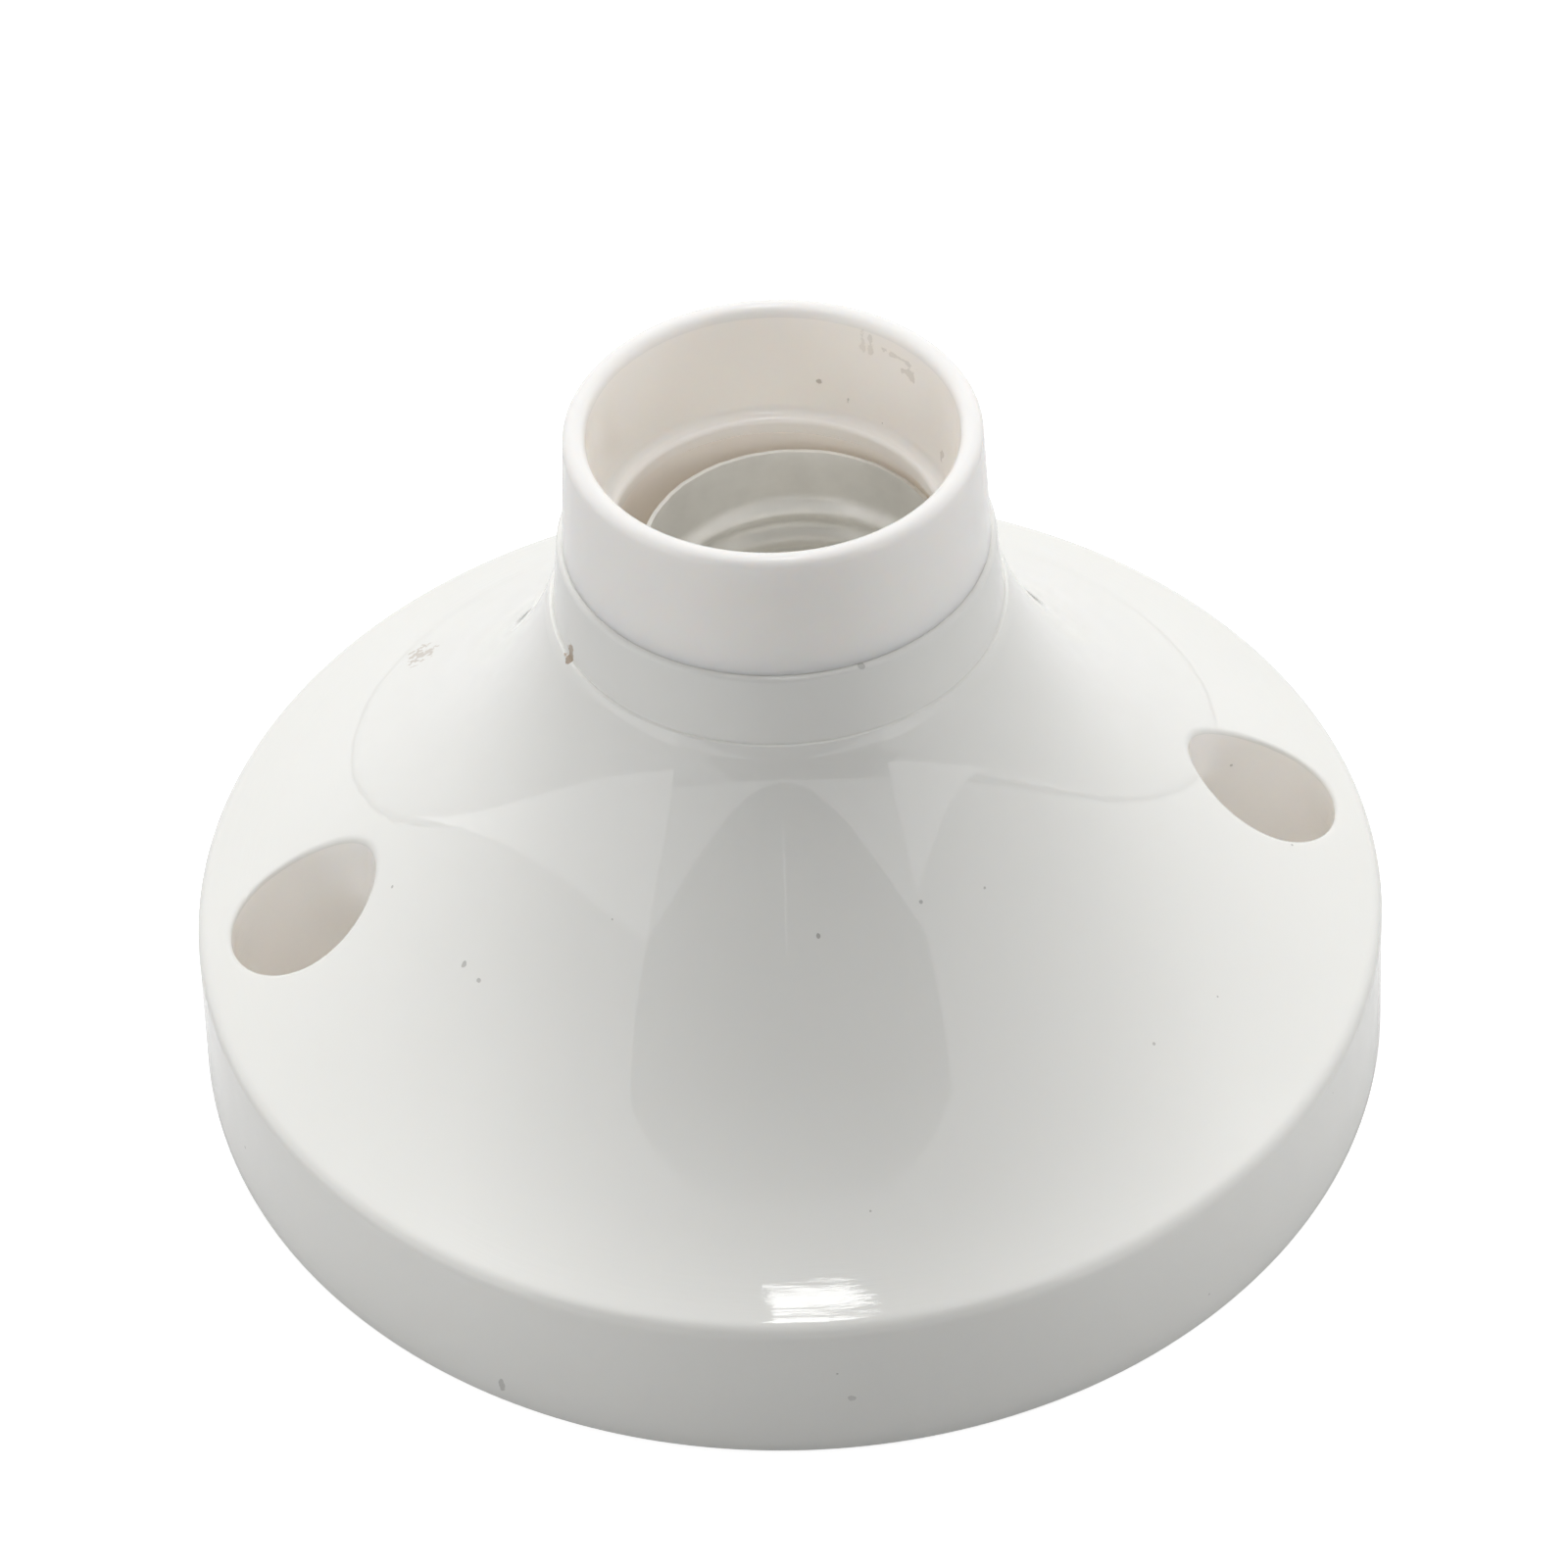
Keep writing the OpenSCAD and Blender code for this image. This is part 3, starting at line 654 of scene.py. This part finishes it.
def cover_plastic(name, colour, scattering, glow):
    """Glossy neutral white, with its marks, and a painted warm glow of the given strength."""
    material, tree, shader = new_finish(name, IOR=1.49, Subsurface_Weight=scattering, Subsurface_Scale=0.003,
                                        Emission_Color=(*THROUGH_COLOUR, 1), Emission_Strength=glow)
    shader.inputs["Subsurface Radius"].default_value = (1.0, 0.8, 0.62)
    skin = place_group(tree, moulded_skin, Colour=(*colour, 1), Drift=0.008, Gloss=0.01, Peel_Scale=210.0)
    specks = place_group(tree, dust, Scale=420.0, Size=0.07, Amount=0.035)
    colour = mix_colour(tree, math_node(tree, "MULTIPLY", specks.outputs["Mask"], 0.45),
                        skin.outputs["Colour"], GREY_DIRT)
    colour = add_marks(tree, colour, COVER_MARKS)
    tree.links.new(colour, shader.inputs["Base Color"])
    tree.links.new(skin.outputs["Roughness"], shader.inputs["Roughness"])
    tooling = place_group(tree, tooling_marks, Scale=1800.0, Stretch=12.0, Low=SHOULDER_MARKS[0],
                          High=SHOULDER_MARKS[1])
    height = math_node(tree, "ADD", skin.outputs["Height"],
                       math_node(tree, "MULTIPLY", tooling.outputs["Height"], TOOLING_DEPTH))
    bump(tree, height, 0.12, 0.0001, shader)
    return material


# Painted light: the wells get a lighter, warmer copy of the cover plastic with a faint warm glow, for the light that
# comes through the thin walls and bounces in the hollows.
WELL_LIT_COLOUR, WELL_GLOW = (0.95, 0.93, 0.90), 0.035
cover_finish = cover_plastic("moulded_white", COVER_COLOUR, 0.1, 0.0)
well_lit_finish = cover_plastic("well_lit_white", WELL_LIT_COLOUR, 0.3, WELL_GLOW)
print("finishes:", cover_finish.name, well_lit_finish.name)

# %% [markdown]
# The barrel is another plastic, one that stands the heat of a lamp. It is warmer in colour and lets some light
# through, which shows at its thin rim. Subsurface scattering with a radius of a few millimetres does that. Its mouth
# and its bore under the lip also get a painted warm glow.

# %% Barrel plastic
BARREL_COLOUR = (0.96, 0.93, 0.895)
# Painted light: the mouth and the bore under the lip get copies of the barrel plastic with a warm glow, for light
# that comes through the walls into those shaded places.
MOUTH_GLOW, BORE_GLOW = 0.07, 0.11
BARREL_MARKS = [
    (on_surface(16.5, 66.9, 63.6), (0.0003, 0.0003, 0.0003), 0.3, GREY_DIRT, 0.6),
    (on_surface(16.6, 52.0, 69.2), (0.00025, 0.0003, 0.0011), 0.6, GREY_DIRT, 0.16),
    (on_surface(16.6, 49.0, 69.3), (0.0003, 0.0003, 0.0014), 0.6, GREY_DIRT, 0.2),
    (on_surface(16.6, 38.0, 69.2), (0.0016, 0.0020, 0.0003), 0.6, GREY_DIRT, 0.22),
    (on_surface(16.6, 33.0, 68.0), (0.0007, 0.0009, 0.0005), 0.6, GREY_DIRT, 0.25),
    (on_surface(16.5, 57.0, 62.0), (0.0002, 0.0002, 0.0006), 0.4, GREY_DIRT, 0.40),
    (on_surface(16.5, 14.0, 62.5), (0.0003, 0.0004, 0.0008), 0.5, GREY_DIRT, 0.35),
]


def barrel_plastic(name, glow):
    """Glossy warm white that scatters light inside, with a painted warm glow of the given strength."""
    material, tree, shader = new_finish(name, IOR=1.5, Subsurface_Weight=0.4, Subsurface_Scale=0.005,
                                        Emission_Color=(*THROUGH_COLOUR, 1), Emission_Strength=glow)
    shader.inputs["Subsurface Radius"].default_value = (1.0, 0.8, 0.65)
    skin = place_group(tree, moulded_skin, Colour=(*BARREL_COLOUR, 1), Drift=0.01, Gloss=0.13, Peel_Scale=240.0)
    specks = place_group(tree, dust, Scale=520.0, Size=0.07, Amount=0.03)
    colour = mix_colour(tree, math_node(tree, "MULTIPLY", specks.outputs["Mask"], 0.45),
                        skin.outputs["Colour"], GREY_DIRT)
    colour = add_marks(tree, colour, BARREL_MARKS)
    tree.links.new(colour, shader.inputs["Base Color"])
    tree.links.new(skin.outputs["Roughness"], shader.inputs["Roughness"])
    bump(tree, skin.outputs["Height"], 0.12, 0.0001, shader)
    return material


barrel_finishes = [barrel_plastic("barrel_outside", 0.0), barrel_plastic("barrel_mouth_glow", MOUTH_GLOW),
                   barrel_plastic("barrel_bore_glow", BORE_GLOW)]
print("finishes:", ", ".join(finish.name for finish in barrel_finishes))

# %% [markdown]
# The cover's outside is turned, but its two wells are not: each cuts the flare in a skewed oval with a soft lip.
# A boolean cut would leave slivers that glint. So the flare is made as a sheet instead: points are spread over
# the plan, in rings round the axis and in close rings round each well, joined into triangles, and then each
# point is lifted to its height. Near a well the height drops away in a quarter round, which is the lip.

# %% The cover's measures, in millimetres
base_low, base_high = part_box("cover")
COVER_TOP = base_high.z / MM
BASE_R = base_high.x / MM
SHOULDER_R = BASE_R - 0.7
SHOULDER_Z = 14.5
SHOULDER_ROUND = 1.5
FOOT_BEVEL = 0.4
WALL = 2.0
FOOT_ANGLE, FOOT_PULL = 12, 13.3
TOP_ANGLE, TOP_PULL = 71.5, 20
NECK_FOOT_R = 21.0
BAND_FOOT_R, BAND_TOP_R, BAND_ROUND = 20.6, 19.9, 0.5
BAND_FOOT_Z = COVER_TOP - 7.1
NECK_BORE_R = 17.6
NECK_UNDER_Z = COVER_TOP - 10.8
WELLS = [(-46.5, 0), (46.5, 0)]
WELL_R, WELL_FLOOR, CEILING_HOLE_R = 7.2, 2.8, 2.4
TUBE_R = 8.7
BOSSES = [(0, -24), (0, 24)]
BOSS_R, PILOT_R, PILOT_DEPTH = 3.5, 1.5, 7
BOSS_FOOT_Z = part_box("lamp_core")[1].z / MM - 2.5
LIP_ROUND = 0.55
SMALL_STEPS = 144


def flare_curve():
    """The flare from the shoulder up to the neck band: radii, heights, and the way it runs."""
    foot = np.array([SHOULDER_R - SHOULDER_ROUND * (1 - math.sin(math.radians(FOOT_ANGLE))),
                     SHOULDER_Z + SHOULDER_ROUND * math.cos(math.radians(FOOT_ANGLE))])
    top = np.array([NECK_FOOT_R, BAND_FOOT_Z])
    foot_handle = foot + FOOT_PULL * np.array([-math.cos(math.radians(FOOT_ANGLE)),
                                               math.sin(math.radians(FOOT_ANGLE))])
    top_handle = top + TOP_PULL * np.array([math.cos(math.radians(TOP_ANGLE)),
                                            -math.sin(math.radians(TOP_ANGLE))])
    t = np.linspace(0, 1, 800)[:, None]
    line = ((1 - t) ** 3 * foot + 3 * (1 - t) ** 2 * t * foot_handle
            + 3 * (1 - t) * t * t * top_handle + t ** 3 * top)
    way = (3 * (1 - t) ** 2 * (foot_handle - foot) + 6 * (1 - t) * t * (top_handle - foot_handle)
           + 3 * t * t * (top - top_handle))
    way /= np.linalg.norm(way, axis=1)[:, None]
    return line, line + WALL * np.column_stack([-way[:, 1], way[:, 0]])


outer_line, inner_line = flare_curve()


def outer_height(radius):
    """Height of the flare's outside at a radius."""
    return np.interp(radius, outer_line[::-1, 0], outer_line[::-1, 1])


def inner_height(radius):
    """Height of the flare's inside at a radius, no higher than the neck's underside."""
    return np.minimum(np.interp(radius, inner_line[::-1, 0], inner_line[::-1, 1]), NECK_UNDER_Z)


print("flare: from", [round(v, 1) for v in outer_line[0]], "to", [round(v, 1) for v in outer_line[-1]])


# %% A sheet with round holes
def plan_sheet(radii, holes, ring_gaps):
    """Triangles over the plan between the first and the last radius, with rings round each hole.
    Holes are (x, y, radius). Gives the points, their distance from the nearest hole's edge, and the faces."""
    points = []
    clear = ring_gaps[-1] + 0.5
    for radius in radii:
        for i in range(TURN_STEPS):
            angle = math.tau * i / TURN_STEPS
            spot = (radius * math.cos(angle), radius * math.sin(angle))
            if all(math.dist(spot, hole[:2]) > hole[2] + clear for hole in holes) or radius in (radii[0], radii[-1]):
                points.append(spot)
    for x, y, hole_r in holes:
        for gap in ring_gaps:
            for i in range(SMALL_STEPS):
                angle = math.tau * i / SMALL_STEPS
                spot = (x + (hole_r + gap) * math.cos(angle), y + (hole_r + gap) * math.sin(angle))
                if radii[0] + 0.3 < math.hypot(*spot) < radii[-1] - 0.3 or gap == 0:
                    points.append(spot)
    made, _, faces, _, _, _ = delaunay_2d_cdt([Vector(spot) for spot in points], [], [], 0, 1e-6)
    made = np.array([tuple(spot) for spot in made])
    kept = []
    for face in faces:
        middle = made[list(face)].mean(0)
        radius = math.hypot(*middle)
        inside_hole = any(math.dist(middle, hole[:2]) < hole[2] * math.cos(math.pi / SMALL_STEPS) for hole in holes)
        if radii[0] * math.cos(math.pi / TURN_STEPS) < radius and not inside_hole:
            kept.append(tuple(face))
    edge = np.min([np.hypot(made[:, 0] - x, made[:, 1] - y) - r for x, y, r in holes], axis=0)
    return made, edge, kept


def lip_drop(edge):
    """How far a rounded lip falls below the flare, by distance from the well's edge."""
    near = np.clip(LIP_ROUND - np.maximum(edge, 0), 0, LIP_ROUND)
    return LIP_ROUND - np.sqrt(LIP_ROUND ** 2 - near ** 2)


LIP_GAPS = [LIP_ROUND * (1 - math.cos(math.radians(a))) for a in range(0, 91, 15)] + [0.75, 1.05, 1.5, 2.1]
PLAIN_GAPS = [0, 0.5, 1.2, 2.0]


# %% Cover
def cover_outside(work):
    """The flare with its well lips, the shoulder, the skirt and the neck band."""
    radii = list(np.interp(np.linspace(0, 1, 46), np.linspace(0, 1, len(outer_line)), outer_line[::-1, 0]))
    plan, edge, faces = plan_sheet(radii, [(*well, WELL_R) for well in WELLS], LIP_GAPS)
    height = outer_height(np.hypot(plan[:, 0], plan[:, 1])) - lip_drop(edge)
    work.add(np.column_stack([plan, height]), faces)
    shoulder = arc((SHOULDER_R - SHOULDER_ROUND, SHOULDER_Z), SHOULDER_ROUND, 90 - FOOT_ANGLE, 0, 10)
    work.lathe([tuple(outer_line[0])] + shoulder[1:]
               + straight((SHOULDER_R, SHOULDER_Z), (BASE_R, FOOT_BEVEL), 12)[1:]
               + arc((BASE_R - FOOT_BEVEL, FOOT_BEVEL), FOOT_BEVEL, 0, -90, 5)[1:]
               + [(BASE_R - WALL, 0)])
    work.lathe([(NECK_FOOT_R, BAND_FOOT_Z), (NECK_FOOT_R - 0.1, BAND_FOOT_Z + 0.12),
                (BAND_FOOT_R + 0.05, BAND_FOOT_Z + 0.16)]
               + arc((BAND_FOOT_R + 0.15, BAND_FOOT_Z + 0.36), 0.15, 240, 178, 4)
               + straight((BAND_FOOT_R, BAND_FOOT_Z + 0.4), (BAND_TOP_R, COVER_TOP - BAND_ROUND), 8)[1:]
               + arc((BAND_TOP_R - BAND_ROUND, COVER_TOP - BAND_ROUND), BAND_ROUND, 0, 90, 8)[1:]
               + [(NECK_BORE_R + 0.2, COVER_TOP), (NECK_BORE_R, COVER_TOP - 0.2), (NECK_BORE_R, NECK_UNDER_Z)])


def cover_inside(work):
    """The hollow underside, with openings left for the well tubes and the screw bosses."""
    holes = [(*well, TUBE_R) for well in WELLS] + [(*boss, BOSS_R) for boss in BOSSES]
    side = SHOULDER_R - WALL
    radii = [NECK_BORE_R, 19.0] + list(np.linspace(inner_line[-1, 0] + 0.1, side, 36))
    plan, edge, faces = plan_sheet(radii, holes, PLAIN_GAPS)
    height = inner_height(np.hypot(plan[:, 0], plan[:, 1]))
    work.add(np.column_stack([plan, height]), faces)
    work.lathe(straight((side, float(inner_height(side))), (BASE_R - WALL, 0), 8))


def well(work, centre):
    """One well: its rounded-in wall, its floor with the screw hole, and the tube that it is from below."""
    ring = circle(WELL_R, 0, centre, SMALL_STEPS)
    lip = [float(outer_height(math.hypot(x, y))) - LIP_ROUND for x, y, _ in ring]
    floor_round = 0.6
    rows = []
    for share in np.linspace(0, 1, 9):
        rows.append([(x, y, z + (WELL_FLOOR + floor_round - z) * share) for (x, y, _), z in zip(ring, lip)])
    work.rows(rows)
    work.lathe(arc((WELL_R - floor_round, WELL_FLOOR + floor_round), floor_round, 0, -90, 6)
               + [(CEILING_HOLE_R + 0.25, WELL_FLOOR), (CEILING_HOLE_R, WELL_FLOOR - 0.25), (CEILING_HOLE_R, 0),
                  (TUBE_R - 0.2, 0), (TUBE_R, 0.2)], centre, SMALL_STEPS)
    outer = circle(TUBE_R, 0, centre, SMALL_STEPS)
    top = [float(inner_height(math.hypot(x, y))) for x, y, _ in outer]
    work.rows([[(x, y, 0.2 + (z - 0.2) * share) for (x, y, _), z in zip(outer, top)]
               for share in np.linspace(0, 1, 9)])


def boss(work, centre):
    """One boss for a screw of the block under the shell."""
    outer = circle(BOSS_R, 0, centre, SMALL_STEPS)
    top = [float(inner_height(math.hypot(x, y))) for x, y, _ in outer]
    work.rows([[(x, y, BOSS_FOOT_Z + (z - BOSS_FOOT_Z) * share) for (x, y, _), z in zip(outer, top)]
               for share in np.linspace(0, 1, 5)])
    work.lathe([(BOSS_R, BOSS_FOOT_Z), (PILOT_R, BOSS_FOOT_Z), (PILOT_R, BOSS_FOOT_Z + PILOT_DEPTH)],
               centre, SMALL_STEPS)
    work.disc(PILOT_R, BOSS_FOOT_Z + PILOT_DEPTH, centre, SMALL_STEPS, up=False)


def build_cover():
    """The whole cover as one closed skin."""
    work = Patchwork()
    cover_outside(work)
    cover_inside(work)
    plain_faces = len(work.faces)
    for centre in WELLS:
        well(work, centre)
    well_faces = len(work.faces)
    for centre in BOSSES:
        boss(work, centre)
    # The wells' faces take the lighter copy with the painted glow.
    slots = [0] * plain_faces + [1] * (well_faces - plain_faces) + [0] * (len(work.faces) - well_faces)
    made = work.piece("moulded_cover", cover_finish, slots=slots)
    made.data.materials.append(well_lit_finish)
    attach(made, BODY)
    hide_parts("cover")
    return made


cover = build_cover()
print("cover:", len(cover.data.polygons), "faces")

# %% [markdown]
# The barrel is one lathe outline: a full round rim, an inner wall that narrows a little towards its foot as
# moulded parts do, the ledge, and the sleeve that goes down into the neck. The two snap hooks under the neck
# are the same surface, pushed out over a short stretch of the turn.

# %% Barrel
barrel_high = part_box("barrel")[1].z / MM
RIM_R, MOUTH_R, MOUTH_FOOT_R = 18.65, 16.6, 16.3
SEAM_R, SEAM_BEVEL = 19.35, 0.08
LEDGE_Z = barrel_high - 11.5
OPENING_R, LIP_T = 14.8, 1.7
BORE_R, SLEEVE_R = 15.55, 17.4
LEDGE_FILLET, LIP_ROUND_TOP, SMALL_BEVEL = 0.95, 0.5, 0.2
SLEEVE_FOOT_Z = BOSS_FOOT_Z + 0.3
HOOK_TOP_Z, HOOK_H, HOOK_REACH, HOOK_HALF_W = NECK_UNDER_Z - 0.2, 3.5, 0.9, 4.0


def hook_out(x, y, height):
    """How far a snap hook pushes the sleeve's outside out."""
    if abs(y) > HOOK_HALF_W or height > HOOK_TOP_Z:
        return 0
    rise = (height - (HOOK_TOP_Z - HOOK_H)) / (HOOK_H - 0.5)
    return HOOK_REACH * min(max(rise, 0), 1)


def barrel_outline():
    """Radius and height, from the sleeve's foot up outside, over the rim and down inside."""
    rim_round = (RIM_R - MOUTH_R) / 2
    rim_z = barrel_high - rim_round
    lip_under_z = LEDGE_Z - LIP_T
    return ([(BORE_R + SMALL_BEVEL, SLEEVE_FOOT_Z), (SLEEVE_R - SMALL_BEVEL, SLEEVE_FOOT_Z),
             (SLEEVE_R, SLEEVE_FOOT_Z + SMALL_BEVEL)]
            + straight((SLEEVE_R, 38), (SLEEVE_R, HOOK_TOP_Z - HOOK_H), 3)
            + straight((SLEEVE_R, HOOK_TOP_Z - HOOK_H + 0.3), (SLEEVE_R, HOOK_TOP_Z - 0.01), 8)
            + [(SLEEVE_R, HOOK_TOP_Z + 0.01), (SLEEVE_R, 54), (SLEEVE_R, COVER_TOP)]
            + [(SEAM_R - SEAM_BEVEL, COVER_TOP)]
            + arc((SEAM_R - SEAM_BEVEL, COVER_TOP + SEAM_BEVEL), SEAM_BEVEL, -90, 0, 6)[1:]
            + straight((SEAM_R, COVER_TOP + SEAM_BEVEL), (RIM_R, rim_z), 16)[1:]
            + arc((RIM_R - rim_round, rim_z), rim_round, 0, 180, 22)[1:]
            + straight((MOUTH_R, rim_z), (MOUTH_FOOT_R, LEDGE_Z + LEDGE_FILLET), 14)[1:]
            + arc((MOUTH_FOOT_R - LEDGE_FILLET, LEDGE_Z + LEDGE_FILLET), LEDGE_FILLET, 0, -90, 8)[1:]
            + arc((OPENING_R + LIP_ROUND_TOP, LEDGE_Z - LIP_ROUND_TOP), LIP_ROUND_TOP, 90, 180, 8)
            + straight((OPENING_R, LEDGE_Z - LIP_ROUND_TOP), (OPENING_R, lip_under_z + SMALL_BEVEL), 3)[1:]
            + [(OPENING_R + SMALL_BEVEL, lip_under_z), (BORE_R, lip_under_z)]
            + straight((BORE_R, lip_under_z), (BORE_R, SLEEVE_FOOT_Z + SMALL_BEVEL), 10)[1:])


def build_barrel():
    """The barrel with its hooks."""
    work = Patchwork()
    rings = []
    outline = barrel_outline()
    for radius, height in outline:
        ring = circle(radius, height)
        if radius == SLEEVE_R:
            ring = [(x * (1 + hook_out(x, y, z) / radius), y * (1 + hook_out(x, y, z) / radius), z)
                    for x, y, z in ring]
        rings.append(ring)
    work.rows(rings, closed=True)
    # The mouth and the bore take the copies with the painted warm glow.
    slots = []
    for (r1, z1), (r2, z2) in zip(outline, outline[1:] + outline[:1]):
        mouth = max(r1, r2) <= MOUTH_R and min(z1, z2) >= LEDGE_Z - LIP_T - 0.01
        bore = max(r1, r2) <= BORE_R and not mouth
        slots += [1 if mouth else 2 if bore else 0] * TURN_STEPS
    made = work.piece("moulded_barrel", barrel_finishes[0], slots=slots)
    for finish in barrel_finishes[1:]:
        made.data.materials.append(finish)
    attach(made, BODY)
    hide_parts("barrel")
    return made


barrel = build_barrel()
print("barrel:", len(barrel.data.polygons), "faces")

# %% [markdown]
# The screw shell is sheet aluminium, 0.35 mm thick, with the lamp's thread rolled into it. A rolled thread is
# a helix, so the wall's radius follows the turn as well as the height. Its top edge was sheared,
# and is a little ragged, which a seeded random walk gives. It sits off centre in the barrel, as in the photograph.

# %% Screw shell finish
def build_scratches():
    """Fine scratches in a sheet of metal, stretched round the axis."""
    group, given, out = new_group(
        "scratches",
        [("Scale", "Float", 60.0), ("Depth", "Float", 1.0)],
        [("Mask", "Float")])
    place = place_on_object(group)
    stretch = group.nodes.new("ShaderNodeMapping")
    stretch.inputs["Scale"].default_value = (1, 1, 14)
    group.links.new(place, stretch.inputs["Vector"])
    fine = noise(group, stretch.outputs[0], math_node(group, "MULTIPLY", given.outputs["Scale"], 6.0), 4.0, 0.7)
    coarse = noise(group, stretch.outputs[0], given.outputs["Scale"], 3.0, 0.6)
    both = math_node(group, "MULTIPLY", ramp(group, fine, 0.5, 0.62), ramp(group, coarse, 0.45, 0.65))
    group.links.new(math_node(group, "MULTIPLY", both, given.outputs["Depth"]), out.inputs["Mask"])
    return group


scratches = build_scratches()
SHELL_COLOUR = (0.96, 0.96, 0.93)


def metal(name, colour, roughness, dull_colour, scratch_scale=60.0, depth=0.6, metallic=1.0):
    """A sheet metal with scratches and dull patches."""
    material, tree, shader = new_finish(name, Metallic=metallic)
    marks = place_group(tree, scratches, Scale=scratch_scale, Depth=depth)
    cloud = ramp(tree, noise(tree, place_on_object(tree), 180.0, 4.0), 0.35, 0.7)
    tone = mix_colour(tree, cloud, colour, dull_colour)
    tree.links.new(tone, shader.inputs["Base Color"])
    rough = math_node(tree, "ADD", math_node(tree, "MULTIPLY", marks.outputs["Mask"], 0.25),
                      ramp(tree, cloud, 0.0, 1.0, roughness, roughness + 0.1))
    tree.links.new(rough, shader.inputs["Roughness"])
    bump(tree, marks.outputs["Mask"], 0.15, 0.00005, shader)
    return material


shell_finish = metal("rolled_aluminium", SHELL_COLOUR, 0.3, (0.88, 0.88, 0.85), metallic=0.25)
print("finish:", shell_finish.name)

# %% Screw shell
shell_low, shell_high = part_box("screw_shell")
SHELL_CENTRE = ((shell_low.x + shell_high.x) / 2 / MM, (shell_low.y + shell_high.y) / 2 / MM)
SHELL_TOP = shell_high.z / MM
SHELL_FOOT = shell_low.z / MM
SHELL_T = 0.35
ROOT_R, CREST_R = 13.35, 12.25
PITCH, CRESTS = 3.63, 4
FIRST_CREST = 5.8
LAND = 0.4
SHELL_HOLE_R = 7.4
SHELL_FLOOR_ROUND = 1.6
BURR = 0.06


def wall_in(height, turn):
    """How far the thread stands in, at a height and a share of a turn."""
    down = (SHELL_TOP - FIRST_CREST + PITCH / 2 - height) / PITCH - turn
    if down < 0 or down > CRESTS:
        return 0
    fade = min(down, CRESTS - down, 0.5) * 2
    away = max(abs(down % 1 - 0.5) * PITCH - LAND / 2, 0) / (PITCH / 2 - LAND / 2)
    return (ROOT_R - CREST_R) * (1 + math.cos(math.pi * away)) / 2 * fade


def shell_ring(radius, height, burr=0.0, threaded=True, draw=None):
    """A ring of the shell's wall, with the thread pressed into it."""
    ring = []
    for i in range(TURN_STEPS):
        share = i / TURN_STEPS
        inward = wall_in(height, share) if threaded else 0
        lift = burr * draw[i] if draw is not None else 0
        angle = math.tau * share
        reach = radius - inward
        ring.append((SHELL_CENTRE[0] + reach * math.cos(angle), SHELL_CENTRE[1] + reach * math.sin(angle),
                     height + lift))
    return ring


def ragged_edge(seed):
    """A closed random walk between -1 and 1, one value for each step of the turn."""
    random = np.random.default_rng(seed)
    waves = sum(random.normal() * np.sin(np.arange(TURN_STEPS) / TURN_STEPS * math.tau * k + random.uniform(0, 6))
                / math.sqrt(k) for k in range(3, 60))
    return waves / np.abs(waves).max()


def build_shell():
    """The rolled shell as one closed sheet with a thickness."""
    work = Patchwork()
    rough_edge = ragged_edge(7)
    low_wall = SHELL_FOOT + SHELL_T + SHELL_FLOOR_ROUND
    heights = np.linspace(SHELL_TOP - 0.9, low_wall, 96)
    inner = [shell_ring(ROOT_R, z) for z in heights]
    floor_in = arc((ROOT_R - SHELL_FLOOR_ROUND, low_wall), SHELL_FLOOR_ROUND, 0, -90, 8)[1:]
    floor_out = arc((ROOT_R - SHELL_FLOOR_ROUND, low_wall), SHELL_FLOOR_ROUND + SHELL_T, -90, 0, 8)[:-1]
    outer = [shell_ring(ROOT_R + SHELL_T, z) for z in heights[::-1]]
    mouth = [shell_ring(ROOT_R + SHELL_T + 0.06, SHELL_TOP - 0.45, threaded=False),
             shell_ring(ROOT_R + SHELL_T + 0.1, SHELL_TOP - BURR, BURR, False, rough_edge),
             shell_ring(ROOT_R + SHELL_T - 0.02, SHELL_TOP - BURR / 2, BURR / 2, False, rough_edge),
             shell_ring(ROOT_R + 0.06, SHELL_TOP - BURR, BURR, False, rough_edge),
             shell_ring(ROOT_R, SHELL_TOP - 0.45, threaded=False)]
    plain = [circle(r, z, SHELL_CENTRE) for r, z in floor_in + [(SHELL_HOLE_R, SHELL_FOOT + SHELL_T),
                                                              (SHELL_HOLE_R, SHELL_FOOT)] + floor_out]
    work.rows(mouth + inner + plain + outer, closed=True)
    made = work.piece("rolled_shell", shell_finish, sharp=50)
    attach(made, BODY)
    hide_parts("screw_shell")
    return made


shell = build_shell()
print("shell:", len(shell.data.polygons), "faces")

# %% [markdown]
# The pieces inside keep their solids, which already have the right shape, and get their metals and plastic here.

# %% Finishes of the inner pieces
def block_plastic():
    """Satin off-white plastic of the block under the shell."""
    material, tree, shader = new_finish("core_plastic", IOR=1.5)
    skin = place_group(tree, moulded_skin, Colour=(0.6, 0.58, 0.53, 1), Drift=0.02, Gloss=0.4, Peel_Scale=500.0)
    tree.links.new(skin.outputs["Colour"], shader.inputs["Base Color"])
    tree.links.new(skin.outputs["Roughness"], shader.inputs["Roughness"])
    bump(tree, skin.outputs["Height"], 0.2, 0.0001, shader)
    return material


brass = metal("contact_brass", (0.78, 0.58, 0.27), 0.3, (0.6, 0.42, 0.2), 90.0)
bronze = metal("spring_bronze", (0.72, 0.48, 0.28), 0.28, (0.55, 0.34, 0.2), 90.0)
steel = metal("plated_steel", (0.6, 0.61, 0.62), 0.3, (0.48, 0.48, 0.48), 120.0)
INNER_FINISHES = {
    "lamp_core": block_plastic(),
    "centre_contact": bronze,
    "centre_rivet": brass, "shell_rivet_front": brass, "shell_rivet_back": brass,
    "live_terminal": brass, "neutral_terminal": brass,
    "live_washer": steel, "neutral_washer": steel,
    "live_screw": steel, "neutral_screw": steel,
    "core_screw_front": steel, "core_screw_back": steel,
}

for node_name, finish in INNER_FINISHES.items():
    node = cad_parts[node_name]
    node.data.materials.clear()
    node.data.materials.append(finish)
print("inner pieces:", len(INNER_FINISHES))
